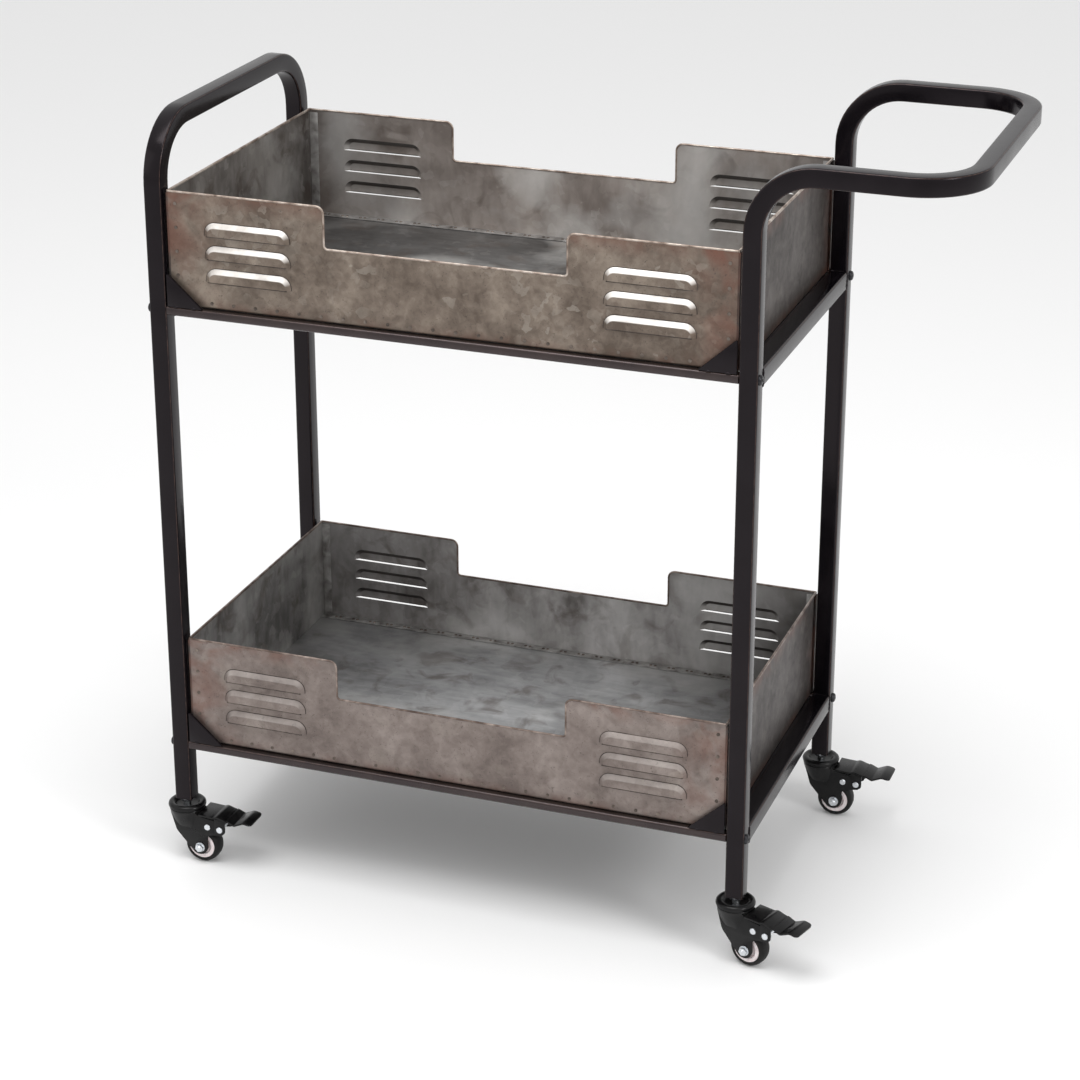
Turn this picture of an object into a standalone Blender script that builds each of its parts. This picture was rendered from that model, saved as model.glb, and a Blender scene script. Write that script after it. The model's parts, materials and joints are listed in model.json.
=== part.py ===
"""Two-tier plant trolley: square-tube frame, two louvred sheet trays and four braked swivel casters.

The trolley stands on the ground plane with +X towards its push handle, -Y to its front and +Z up.
The origin is on the ground under the middle of the whole trolley, handle and pedals included.
"""

import math

import bmesh
import bpy
from mathutils import Matrix, Vector

# Driving dimensions, in metres
MM = 0.001
GAP = 0.3 * MM                    # clearance between pieces that touch

POST_SPACING_X = 648 * MM         # between the post centres, along the trolley
POST_SPACING_Y = 353 * MM         # between the post centres, across the trolley
POST_FOOT_Z = 77 * MM             # open lower ends of the posts
TUBE = 20 * MM                    # side of the square frame tube
TUBE_WALL = 1.5 * MM
TUBE_CORNER = 2.5 * MM            # outer corner radius of the frame tube
BEND_RADIUS = 62 * MM             # centre line of every bend
HOOP_TOP_Z = 867 * MM             # upper face of the left end hoop
HANDLE_TOP_Z = 882 * MM           # upper face of the push handle
GRIP_X = 532 * MM                 # centre line of the grip bar, from the middle of the posts

DECK_Z = {"lower": 152 * MM, "upper": 665 * MM}   # top faces of the long rails
RAIL_DEPTH = 14 * MM
RAIL_HEIGHT = 10 * MM
CROSS_RAIL_RISE = 3 * MM          # how far a cross rail stands above the deck

GUSSET_HEIGHT = 35 * MM
GUSSET_LENGTH = 42 * MM
GUSSET_THICKNESS = 3 * MM
GUSSET_GAP = 2 * MM               # open slit between a gusset and its post

SHEET = 1 * MM                    # thickness of the tray sheets
TRAY_LENGTH = 620 * MM
TRAY_WIDTH = 360 * MM
TRAY_HEIGHT = 125.5 * MM
TRAY_FLANGE = 14 * MM             # lower flange of a side panel, under the floor
NOTCH_HALF = 132.5 * MM           # half length of the lowered middle of a side panel
NOTCH_DEPTH = 45 * MM
NOTCH_OUTER_RADIUS = 8 * MM
NOTCH_INNER_RADIUS = 4 * MM

LOUVRE_CENTRE_X = 219.5 * MM
LOUVRE_LENGTH = 97.5 * MM
LOUVRE_HEIGHT = 15 * MM
LOUVRE_DEPTH = 5 * MM
LOUVRE_CORNER = 12 * MM
LOUVRE_SLOT_Z = (30.5 * MM, 55.5 * MM, 80.5 * MM)   # slots above the tray's underside

SCREW_HEAD = 11 * MM
SCREW_SHANK = 6 * MM
SCREW_REACH = 34 * MM             # from the post's outer face into the end of the long rail
SCREW_DOME = 3.2 * MM             # height of a screw's button head
SCREW_HOLE_DEPTH = 26 * MM        # right through a post
AXIS_RADIUS = 0.5 * MM            # where a turned outline stops short of its own axis
AXIS_OPENING = 0.8 * MM           # openings narrower than this on an axis are closed

WHEEL_RADIUS = 21 * MM
WHEEL_HALF = 9 * MM               # half width of the tyre
HUB_RADIUS = 15.5 * MM
TRAIL = 20 * MM                   # from the swivel axis to the axle
RACE_RADIUS = 21.5 * MM
RACE_TOP_Z = 72 * MM
CHEEK_INNER = 10.5 * MM           # from the wheel's middle to a cheek's inner face
CHEEK_SHEET = 1.6 * MM
AXLE_RADIUS = 3 * MM
BOLT_HEAD_RADIUS = 5.5 * MM
BOLT_HEAD_HEIGHT = 2.4 * MM
AXLE_NUT_RADIUS = 4.8 * MM
AXLE_NUT_HEIGHT = 3.2 * MM
STEM_RADIUS = 4 * MM
STEM_HEAD_RADIUS = 7 * MM         # peened end of the stem, under the race
STEM_HEAD_HEIGHT = 2.5 * MM
STEM_NUT_RADIUS = 7.5 * MM
RACE_BORE = 4.3 * MM
RACE_HEIGHT = 9 * MM
PLUG_HEIGHT = 18 * MM             # how far the stem's plug stands up inside its post
PLUG_SIDE = 14.6 * MM
CHEEK_LEFT_X = -17.5 * MM         # edges of the fork's cheeks under the race
CHEEK_RIGHT_X = 17.5 * MM
FORK_FOOT = 9 * MM                # how far the cheeks reach below and beside the axle
RIVET_RADIUS = 2.2 * MM
RIVET_HEAD_RADIUS = 3.8 * MM
RIVET_HEAD_HEIGHT = 1.6 * MM
RIVET_Z = 48 * MM
FIXED_RIVET_X = 30 * MM
PEDAL_PIVOT_X = 46 * MM
PEDAL_TIP_X = 86 * MM
PEDAL_WIDTH = 32 * MM
PEDAL_SHEET = 2 * MM
PEDAL_LUG = 6.5 * MM              # half width of the lugs that carry the pedal
PEDAL_HOLE_RADIUS = 2.6 * MM
PEDAL_TIP_Z = 12 * MM
PEDAL_STEPS = (                   # top of the pedal's bent strip: along the fork, and up
    (21 * MM, 14 * MM), (40 * MM, 13 * MM), (43 * MM, 14.5 * MM), (53 * MM, 11.5 * MM),
    (56 * MM, 12 * MM), (64 * MM, 8.5 * MM), (76 * MM, 13.5 * MM),
)

# Standing position of each swivel caster: where it sits and how far it is turned about its stem
CASTERS = {
    "front_left": (-1, -1, 0),
    "front_right": (1, -1, -16),
    "rear_left": (-1, 1, 0),
    "rear_right": (1, 1, 0),
}

HALF_X = POST_SPACING_X / 2
HALF_Y = POST_SPACING_Y / 2
FRONT_FACE = HALF_Y + TUBE / 2    # outer faces of the posts, front and rear
INNER_X = HALF_X - TUBE / 2       # inner faces of the posts, left and right

# The handle at one end and the turned pedal at the front put the posts off the trolley's middle
RIGHT_REACH = GRIP_X + TUBE / 2
LEFT_REACH = HALF_X + RACE_RADIUS
REAR_REACH = HALF_Y + RACE_RADIUS
PEDAL_TURN = math.radians(-CASTERS["front_right"][2])
FRONT_REACH = HALF_Y + PEDAL_TIP_X * math.sin(PEDAL_TURN) + PEDAL_WIDTH / 2 * math.cos(PEDAL_TURN)
FRAME_CENTRE = ((LEFT_REACH - RIGHT_REACH) / 2, (FRONT_REACH - REAR_REACH) / 2, 0)


# Scene, materials and collections

for old in list(bpy.data.objects):
    bpy.data.objects.remove(old, do_unlink=True)

parts = bpy.data.collections.new("plant_trolley")
cutters = bpy.data.collections.new("cutters")
bpy.context.scene.collection.children.link(parts)
bpy.context.scene.collection.children.link(cutters)


def make_material(name, colour, roughness, metallic):
    material = bpy.data.materials.new(name)
    material.use_nodes = True
    shader = material.node_tree.nodes["Principled BSDF"]
    shader.inputs["Base Color"].default_value = (*colour, 1)
    shader.inputs["Roughness"].default_value = roughness
    shader.inputs["Metallic"].default_value = metallic
    material.diffuse_color = (*colour, 1)
    return material


BLACK_PAINT = make_material("black_paint", (0.018, 0.017, 0.018), 0.42, 0.0)
UPPER_ZINC = make_material("galvanised_upper", (0.23, 0.19, 0.16), 0.55, 0.7)
LOWER_ZINC = make_material("galvanised_lower", (0.20, 0.17, 0.15), 0.5, 0.75)
BRIGHT_ZINC = make_material("bright_zinc", (0.62, 0.64, 0.67), 0.28, 1.0)
BLACK_SCREW = make_material("black_screw", (0.02, 0.02, 0.02), 0.3, 0.6)
BLACK_PRESSING = make_material("black_pressing", (0.015, 0.015, 0.016), 0.35, 0.1)
BLACK_RUBBER = make_material("black_rubber", (0.02, 0.02, 0.02), 0.6, 0.0)
PALE_NYLON = make_material("pale_nylon", (0.75, 0.68, 0.66), 0.45, 0.0)


# Modelling helpers

def place(obj, parent, location, rotation=(0, 0, 0)):
    obj.parent = parent
    obj.location = location
    obj.rotation_euler = rotation
    return obj


def new_part(name, mesh, material):
    obj = bpy.data.objects.new(name, mesh)
    mesh.materials.clear()
    mesh.materials.append(material)
    parts.objects.link(obj)
    return obj


def new_cutter(name, mesh):
    obj = bpy.data.objects.new(name, mesh)
    cutters.objects.link(obj)
    obj.hide_render = True
    obj.display_type = "WIRE"
    return obj


def combine(obj, tool, operation):
    modifier = obj.modifiers.new(tool.name, "BOOLEAN")
    modifier.operation = operation
    modifier.solver = "EXACT"
    modifier.object = tool


def filleted(corners, radii, steps, closed):
    """Points of a polyline whose corners are rounded with arcs of the given radii."""
    corners = [Vector(corner) for corner in corners]
    points = []
    for index, corner in enumerate(corners):
        is_end = index in (0, len(corners) - 1)
        if radii[index] == 0 or (is_end and not closed):
            points.append(corner)
            continue
        back = (corners[index - 1] - corner).normalized()
        ahead = (corners[(index + 1) % len(corners)] - corner).normalized()
        half_angle = back.angle(ahead) / 2
        centre = corner + (back + ahead).normalized() * radii[index] / math.sin(half_angle)
        start = corner + back * radii[index] / math.tan(half_angle) - centre
        end = corner + ahead * radii[index] / math.tan(half_angle) - centre
        sweep = start.angle(end)
        for step in range(steps + 1):
            part = step / steps
            arm = start * math.sin((1 - part) * sweep) + end * math.sin(part * sweep)
            points.append(centre + arm / math.sin(sweep))
    return points


def poly_curve(name, points, closed, dimensions):
    curve = bpy.data.curves.new(name, "CURVE")
    curve.dimensions = dimensions
    spline = curve.splines.new("POLY")
    spline.points.add(len(points) - 1)
    for target, point in zip(spline.points, points):
        target.co = (*point, 1) if len(point) == 3 else (*point, 0, 1)
    spline.use_cyclic_u = closed
    return curve


def curve_mesh(curve, name):
    """Mesh of a curve with its caps welded to its walls."""
    holder = bpy.data.objects.new(name + "_curve", curve)
    cutters.objects.link(holder)
    bpy.context.view_layer.update()
    mesh = bpy.data.meshes.new_from_object(holder.evaluated_get(bpy.context.evaluated_depsgraph_get()))
    mesh.name = name
    bpy.data.objects.remove(holder, do_unlink=True)
    shape = bmesh.new()
    shape.from_mesh(mesh)
    bmesh.ops.remove_doubles(shape, verts=shape.verts, dist=0.00001)
    bmesh.ops.recalc_face_normals(shape, faces=shape.faces)
    shape.to_mesh(mesh)
    shape.free()
    return mesh


def plate_mesh(name, outline, thickness, rim=0.0):
    """Flat plate with the given outline in X and Z, its thickness along Y and an optional round rim."""
    curve = poly_curve(name, outline, True, "2D")
    curve.fill_mode = "BOTH"
    curve.extrude = thickness / 2 - rim
    curve.bevel_depth = rim
    curve.bevel_resolution = 0
    curve.offset = -rim
    mesh = curve_mesh(curve, name)
    mesh.transform(Matrix.Rotation(math.radians(90), 4, "X"))
    return mesh


def rounded_rectangle(width, height, radius, steps):
    corners = [
        (-width / 2, -height / 2),
        (width / 2, -height / 2),
        (width / 2, height / 2),
        (-width / 2, height / 2),
    ]
    return filleted(corners, [radius] * 4, steps, True)


def tube_mesh(name, path, width, height, wall):
    """Open-ended rectangular tube along a path, hollow along its whole length."""
    section_curve = poly_curve(name + "_section", rounded_rectangle(width, height, TUBE_CORNER, 1), True, "2D")
    section = bpy.data.objects.new(name + "_section", section_curve)
    cutters.objects.link(section)
    curve = poly_curve(name, path, False, "3D")
    curve.bevel_mode = "OBJECT"
    curve.bevel_object = section
    curve.use_fill_caps = False
    mesh = curve_mesh(curve, name)
    bpy.data.objects.remove(section, do_unlink=True)
    holder = bpy.data.objects.new(name + "_shell", mesh)
    cutters.objects.link(holder)
    shell = holder.modifiers.new("wall", "SOLIDIFY")
    shell.thickness = wall
    shell.offset = -1
    shell.use_even_offset = True
    bpy.context.view_layer.update()
    solid = bpy.data.meshes.new_from_object(holder.evaluated_get(bpy.context.evaluated_depsgraph_get()))
    bpy.data.objects.remove(holder, do_unlink=True)
    return solid


def turned_mesh(name, profile, steps):
    """Closed ring turned about Z from a profile of (radius, height) points, listed down its outer side."""
    shape = bmesh.new()
    rim = [shape.verts.new((radius, 0, height)) for radius, height in profile]
    for first, second in zip(rim, rim[1:] + rim[:1]):
        shape.edges.new((first, second))
    axis = (0, 0, 1)
    bmesh.ops.spin(
        shape, geom=list(shape.verts) + list(shape.edges), cent=(0, 0, 0), axis=axis,
        angle=math.tau, steps=steps, use_merge=True, use_duplicate=False)
    bmesh.ops.remove_doubles(shape, verts=shape.verts, dist=0.00001)
    bmesh.ops.recalc_face_normals(shape, faces=shape.faces)
    mesh = bpy.data.meshes.new(name)
    shape.to_mesh(mesh)
    shape.free()
    return mesh


def cylinder_mesh(name, radius, length, sides, axis="Z"):
    shape = bmesh.new()
    bmesh.ops.create_cone(
        shape, cap_ends=True, segments=sides, radius1=radius, radius2=radius, depth=length)
    mesh = bpy.data.meshes.new(name)
    shape.to_mesh(mesh)
    shape.free()
    if axis == "Y":
        mesh.transform(Matrix.Rotation(math.radians(90), 4, "X"))
    if axis == "X":
        mesh.transform(Matrix.Rotation(math.radians(90), 4, "Y"))
    return mesh


def box_mesh(name, size):
    shape = bmesh.new()
    bmesh.ops.create_cube(shape, size=1)
    bmesh.ops.scale(shape, vec=size, verts=shape.verts)
    mesh = bpy.data.meshes.new(name)
    shape.to_mesh(mesh)
    shape.free()
    return mesh


def trim(mesh, point, normal):
    """Cuts away what lies beyond a plane and closes the cut."""
    shape = bmesh.new()
    shape.from_mesh(mesh)
    cut = bmesh.ops.bisect_plane(
        shape, geom=shape.verts[:] + shape.edges[:] + shape.faces[:],
        plane_co=point, plane_no=normal, clear_outer=True)
    rim = [item for item in cut["geom_cut"] if isinstance(item, bmesh.types.BMEdge)]
    bmesh.ops.contextual_create(shape, geom=rim)
    bmesh.ops.recalc_face_normals(shape, faces=shape.faces)
    shape.to_mesh(mesh)
    shape.free()


def smooth(obj, angle=35):
    obj.data.shade_smooth()
    obj.data.set_sharp_from_angle(angle=math.radians(angle))


# Frame: two bent tubes, welded cross rails, long rails, gussets and the screws that clamp the rails

frame = bpy.data.objects.new("frame_centre", None)
parts.objects.link(frame)
frame.location = FRAME_CENTRE


def end_frame(name, path):
    radii = [BEND_RADIUS] * len(path)
    points = filleted(path, radii, 6, False)
    tube = new_part(name, tube_mesh(name, points, TUBE, TUBE, TUBE_WALL), BLACK_PAINT)
    return place(tube, frame, (0, 0, 0))


def make_end_frames():
    hoop_z = HOOP_TOP_Z - TUBE / 2
    handle_z = HANDLE_TOP_Z - TUBE / 2
    left = end_frame("frame_left", [
        (-HALF_X, -HALF_Y, POST_FOOT_Z),
        (-HALF_X, -HALF_Y, hoop_z),
        (-HALF_X, HALF_Y, hoop_z),
        (-HALF_X, HALF_Y, POST_FOOT_Z),
    ])
    right = end_frame("frame_right", [
        (HALF_X, -HALF_Y, POST_FOOT_Z),
        (HALF_X, -HALF_Y, handle_z),
        (GRIP_X, -HALF_Y, handle_z),
        (GRIP_X, HALF_Y, handle_z),
        (HALF_X, HALF_Y, handle_z),
        (HALF_X, HALF_Y, POST_FOOT_Z),
    ])
    return {-1: left, 1: right}


def make_rails():
    for level, deck in DECK_Z.items():
        cross_z = deck + CROSS_RAIL_RISE - TUBE / 2
        reach = HALF_Y - TUBE / 2 - GAP
        for side, x in (("left", -HALF_X), ("right", HALF_X)):
            name = f"cross_rail_{side}_{level}"
            mesh = tube_mesh(name, [(0, -reach, 0), (0, reach, 0)], TUBE, TUBE, TUBE_WALL)
            place(new_part(name, mesh, BLACK_PAINT), frame, (x, 0, cross_z))
        reach = INNER_X - GAP
        for side, y in (("front", -1), ("rear", 1)):
            name = f"long_rail_{side}_{level}"
            mesh = tube_mesh(name, [(-reach, 0, 0), (reach, 0, 0)], RAIL_DEPTH, RAIL_HEIGHT, SHEET)
            location = (0, y * (FRONT_FACE - RAIL_DEPTH / 2), deck - RAIL_HEIGHT / 2)
            place(new_part(name, mesh, BLACK_PAINT), frame, location)


def make_gussets():
    outline = filleted(
        [(0, 0), (GUSSET_LENGTH, 0), (2 * MM, GUSSET_HEIGHT), (0, GUSSET_HEIGHT)],
        [0, 0.8 * MM, 0, 0], 2, True)
    for level, deck in DECK_Z.items():
        for depth, y in (("front", -1), ("rear", 1)):
            for side, x in (("left", -1), ("right", 1)):
                name = f"gusset_{depth}_{side}_{level}"
                mirrored = [(-x * point[0], point[1]) for point in outline]
                mesh = plate_mesh(name, mirrored, GUSSET_THICKNESS)
                place(new_part(name, mesh, BLACK_PAINT), frame, (
                    x * (INNER_X - GUSSET_GAP), y * (FRONT_FACE - GUSSET_THICKNESS / 2), deck + GAP))


def make_screws(end_frames):
    """Button-head screws through the posts' outer faces into the ends of the long rails."""
    radius = SCREW_HEAD / 2
    shank = SCREW_SHANK / 2
    dome = [(radius * math.sin(turn), SCREW_DOME * math.cos(turn)) for turn in (0.12, 0.75, 1.4)]
    profile = dome + [(radius, 0), (shank, 0), (shank, -SCREW_REACH), (AXIS_RADIUS, -SCREW_REACH)]
    rail_y = FRONT_FACE - RAIL_DEPTH / 2
    for level, deck in DECK_Z.items():
        for depth, y in (("front", -1), ("rear", 1)):
            for side, x in (("left", -1), ("right", 1)):
                name = f"screw_{side}_{depth}_{level}"
                mesh = turned_mesh(name, profile, 8)
                fill_centre(mesh)
                mesh.transform(Matrix.Rotation(math.radians(90 * x), 4, "Y"))
                location = (x * (HALF_X + TUBE / 2 + GAP), y * rail_y, deck - RAIL_HEIGHT / 2)
                obj = place(new_part(name, mesh, BLACK_SCREW), frame, location)
                smooth(obj)
                hole_mesh = cylinder_mesh(name + "_hole", shank + GAP, SCREW_HOLE_DEPTH, 8, "X")
                hole = new_cutter(name + "_hole", hole_mesh)
                place(hole, frame, (x * HALF_X, y * rail_y, deck - RAIL_HEIGHT / 2))
                combine(end_frames[x], hole, "DIFFERENCE")


def fill_centre(mesh):
    """Closes the small round openings left on the axis of a turned shape."""
    shape = bmesh.new()
    shape.from_mesh(mesh)
    inner = [face for face in shape.faces
             if all(math.hypot(vert.co.x, vert.co.y) < AXIS_OPENING for vert in face.verts)]
    bmesh.ops.delete(shape, geom=inner, context="FACES")
    bmesh.ops.holes_fill(shape, edges=shape.edges, sides=0)
    bmesh.ops.recalc_face_normals(shape, faces=shape.faces)
    shape.to_mesh(mesh)
    shape.free()


# Trays: notched and louvred side panels, plain end panels and a floor sheet

def side_panel_outline():
    half = TRAY_LENGTH / 2 - SHEET - GAP
    top = TRAY_HEIGHT
    low = TRAY_HEIGHT - NOTCH_DEPTH
    corners = [
        (-half, 0), (half, 0), (half, top), (NOTCH_HALF, top),
        (NOTCH_HALF, low), (-NOTCH_HALF, low), (-NOTCH_HALF, top), (-half, top),
    ]
    radii = [0, 0, 0, NOTCH_OUTER_RADIUS, NOTCH_INNER_RADIUS, NOTCH_INNER_RADIUS, NOTCH_OUTER_RADIUS, 0]
    return filleted(corners, radii, 3, True)


def louvre_mesh(name, inset):
    """Half pillow with its flat side down: the outer skin of a louvre, or its hollow when inset."""
    length = LOUVRE_LENGTH - 2 * inset
    height = 2 * (LOUVRE_HEIGHT - inset)
    depth = LOUVRE_DEPTH - inset
    outline = rounded_rectangle(length, height, LOUVRE_CORNER, 2)
    mesh = plate_mesh(name, outline, 2 * depth, depth - 0.2 * MM)
    if inset == 0:
        trim(mesh, (0, 0, 0), (0, 0, -1))
        trim(mesh, (0, SHEET / 2, 0), (0, 1, 0))
    else:
        trim(mesh, (0, 0, -GAP), (0, 0, -1))
    return mesh


def joined_copies(name, mesh, places):
    shape = bmesh.new()
    for location in places:
        copy = mesh.copy()
        copy.transform(Matrix.Translation(location))
        shape.from_mesh(copy)
        bpy.data.meshes.remove(copy)
    joined = bpy.data.meshes.new(name)
    shape.to_mesh(joined)
    shape.free()
    return joined


def make_side_panel(name, level, turn, material):
    """Side panel with its lower flange and six louvres; the rear one is the front one turned round."""
    parent = bpy.data.objects.new(name + "_place", None)
    parts.objects.link(parent)
    place(parent, frame, (0, 0, DECK_Z[level] + GAP), (0, 0, turn))
    panel_y = -(TRAY_WIDTH - SHEET) / 2
    panel = new_part(name, plate_mesh(name, side_panel_outline(), SHEET), material)
    place(panel, parent, (0, panel_y, 0))
    flange_length = TRAY_LENGTH - 2 * SHEET - 2 * GAP
    flange = new_cutter(name + "_flange", box_mesh(name + "_flange", (flange_length, TRAY_FLANGE, SHEET)))
    place(flange, parent, (0, panel_y + (TRAY_FLANGE - SHEET) / 2, SHEET / 2))
    combine(panel, flange, "UNION")
    places = [(x, panel_y, z) for x in (-LOUVRE_CENTRE_X, LOUVRE_CENTRE_X) for z in LOUVRE_SLOT_Z]
    for label, inset, operation in (("hoods", 0, "UNION"), ("slots", SHEET, "DIFFERENCE")):
        mesh = joined_copies(name + label, louvre_mesh(name + label, inset), places)
        tool = place(new_cutter(f"{name}_{label}", mesh), parent, (0, 0, 0))
        combine(panel, tool, operation)


def make_trays():
    for level, material in (("upper", UPPER_ZINC), ("lower", LOWER_ZINC)):
        make_side_panel(f"tray_front_{level}", level, 0, material)
        make_side_panel(f"tray_rear_{level}", level, math.pi, material)
        base = DECK_Z[level] + GAP
        for side, x in (("left", -1), ("right", 1)):
            name = f"tray_end_{side}_{level}"
            mesh = box_mesh(name, (SHEET, TRAY_WIDTH, TRAY_HEIGHT))
            place(new_part(name, mesh, material), frame, (
                x * (TRAY_LENGTH - SHEET) / 2, 0, base + TRAY_HEIGHT / 2))
        name = f"tray_floor_{level}"
        inner_length = TRAY_LENGTH - 2 * SHEET - 2 * GAP
        inner_width = TRAY_WIDTH - 2 * SHEET - 2 * GAP
        mesh = box_mesh(name, (inner_length, inner_width, SHEET))
        place(new_part(name, mesh, material), frame, (0, 0, base + SHEET + GAP + SHEET / 2))


# Casters: stem with its nut and tube plug, pressed fork with its race, wheel, axle bolt and brake pedal

def make_stem(name, swivel):
    """Stem with a peened head below the fork, a hexagon nut and a square plug up inside the post."""
    head_z = RACE_TOP_Z - RACE_HEIGHT - GAP
    head_foot_z = head_z - STEM_HEAD_HEIGHT
    plug_top = POST_FOOT_Z + PLUG_HEIGHT
    stem_top = plug_top - 2 * MM
    profile = [
        (STEM_RADIUS, stem_top), (STEM_RADIUS, head_z), (STEM_HEAD_RADIUS, head_z),
        (STEM_HEAD_RADIUS, head_foot_z), (AXIS_RADIUS, head_foot_z), (AXIS_RADIUS, stem_top),
    ]
    mesh = turned_mesh(name, profile, 10)
    fill_centre(mesh)
    stem = place(new_part(name, mesh, BRIGHT_ZINC), swivel, (0, 0, 0))
    nut_height = POST_FOOT_Z - RACE_TOP_Z - 2 * GAP
    nut = new_cutter(name + "_nut", cylinder_mesh(name + "_nut", STEM_NUT_RADIUS, nut_height, 6))
    place(nut, swivel, (0, 0, RACE_TOP_Z + GAP + nut_height / 2))
    combine(stem, nut, "UNION")
    plug_height = PLUG_HEIGHT - GAP
    plug = new_cutter(name + "_plug", box_mesh(name + "_plug", (PLUG_SIDE, PLUG_SIDE, plug_height)))
    place(plug, swivel, (0, 0, POST_FOOT_Z + GAP + plug_height / 2))
    plug.rotation_euler = (0, 0, -swivel.rotation_euler.z)
    combine(stem, plug, "UNION")


def make_fork(name, swivel):
    """Pressed fork: round ball race on top, two cheeks down to the axle, a front web and rivets."""
    top = RACE_TOP_Z
    race = [
        (14 * MM, top - 2 * MM), (18 * MM, top), (RACE_RADIUS, top - 2 * MM), (RACE_RADIUS, top - 5.5 * MM),
        (19 * MM, top - RACE_HEIGHT), (RACE_BORE, top - RACE_HEIGHT), (RACE_BORE, top - 2 * MM),
    ]
    fork = place(new_part(name, turned_mesh(name, race, 16), BLACK_PRESSING), swivel, (0, 0, 0))

    axle_z = WHEEL_RADIUS
    corners = [
        (CHEEK_LEFT_X, top - 4 * MM), (CHEEK_LEFT_X, 63 * MM), (-9 * MM, 37 * MM),
        (TRAIL - FORK_FOOT, axle_z - 2 * MM), (TRAIL - 4 * MM, axle_z - FORK_FOOT),
        (TRAIL + 6 * MM, axle_z - FORK_FOOT),
        (TRAIL + 9.5 * MM, axle_z + 3 * MM), (TRAIL + 9 * MM, 40 * MM), (PEDAL_PIVOT_X + 4 * MM, 42 * MM),
        (PEDAL_PIVOT_X + 6 * MM, 51 * MM), (PEDAL_PIVOT_X - 2 * MM, 56.5 * MM),
        (CHEEK_RIGHT_X, 58.5 * MM), (CHEEK_RIGHT_X, top - 4 * MM),
    ]
    radii = [0, 0, 0, 4 * MM, 0, 4 * MM, 0, 0, 3 * MM, 3 * MM, 0, 0, 0]
    outline = filleted(corners, radii, 2, True)
    for label, y in (("front", -1), ("rear", 1)):
        cheek_name = f"{name}_cheek_{label}"
        cheek = new_cutter(cheek_name, plate_mesh(cheek_name, outline, CHEEK_SHEET))
        place(cheek, swivel, (0, y * (CHEEK_INNER + CHEEK_SHEET / 2), 0))
        combine(fork, cheek, "UNION")

    web_width = 2 * (CHEEK_INNER + CHEEK_SHEET) - 0.2 * MM
    web_top = Vector((-16.6 * MM, 0, top - 5 * MM))
    web_foot = Vector((-8 * MM, 0, 37.5 * MM))
    along = web_foot - web_top
    web = new_cutter(name + "_web", box_mesh(name + "_web", (CHEEK_SHEET, web_width, along.length)))
    place(web, swivel, (web_top + web_foot) / 2, (0, math.atan2(-along.x, -along.z), 0))
    combine(fork, web, "UNION")

    cheek_outer = CHEEK_INNER + CHEEK_SHEET
    rivets = (
        ("fixed_rivet", FIXED_RIVET_X, cheek_outer - 0.1 * MM),
        ("pivot_rivet", PEDAL_PIVOT_X, cheek_outer + CHEEK_SHEET + 2 * GAP + 0.1 * MM),
    )
    for label, x, seat in rivets:
        pin_name = f"{name}_{label}"
        pin = new_cutter(pin_name, cylinder_mesh(pin_name, RIVET_RADIUS, 2 * seat + 1 * MM, 8, "Y"))
        place(pin, swivel, (x, 0, RIVET_Z))
        combine(fork, pin, "UNION")
        for side, y in (("front", -1), ("rear", 1)):
            head_name = f"{pin_name}_head_{side}"
            head_mesh = cylinder_mesh(head_name, RIVET_HEAD_RADIUS, RIVET_HEAD_HEIGHT, 8, "Y")
            head = new_cutter(head_name, head_mesh)
            place(head, swivel, (x, y * (seat + RIVET_HEAD_HEIGHT / 2), RIVET_Z))
            combine(fork, head, "UNION")
    bore_mesh = cylinder_mesh(name + "_axle_bore", AXLE_RADIUS + GAP, 40 * MM, 10, "Y")
    bore = new_cutter(name + "_axle_bore", bore_mesh)
    place(bore, swivel, (TRAIL, 0, axle_z))
    combine(fork, bore, "DIFFERENCE")


def make_wheel(name, axle_place):
    half = WHEEL_HALF
    tread = [
        (HUB_RADIUS + GAP, half - 0.6 * MM), (18 * MM, half), (19.8 * MM, half - 1.2 * MM),
        (WHEEL_RADIUS, half - 4.5 * MM), (WHEEL_RADIUS, 4.5 * MM - half), (19.8 * MM, 1.2 * MM - half),
        (18 * MM, -half), (HUB_RADIUS + GAP, 0.6 * MM - half),
    ]
    bore = AXLE_RADIUS + GAP
    boss = CHEEK_INNER - GAP
    core = [
        (bore, boss), (6 * MM, boss), (6.5 * MM, half - 5 * MM), (11.5 * MM, half - 5 * MM),
        (12.5 * MM, half - 0.8 * MM), (HUB_RADIUS, half - 0.8 * MM),
        (HUB_RADIUS, 0.8 * MM - half), (12.5 * MM, 0.8 * MM - half), (11.5 * MM, 5 * MM - half),
        (6.5 * MM, 5 * MM - half), (6 * MM, -boss), (bore, -boss),
    ]
    for label, profile, steps, material in (("tyre", tread, 24, BLACK_RUBBER), ("hub", core, 16, PALE_NYLON)):
        mesh = turned_mesh(f"{name}_{label}", profile, steps)
        mesh.transform(Matrix.Rotation(math.radians(90), 4, "X"))
        obj = place(new_part(f"{name}_{label}", mesh, material), axle_place, (0, 0, 0))
        smooth(obj, 30)


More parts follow.
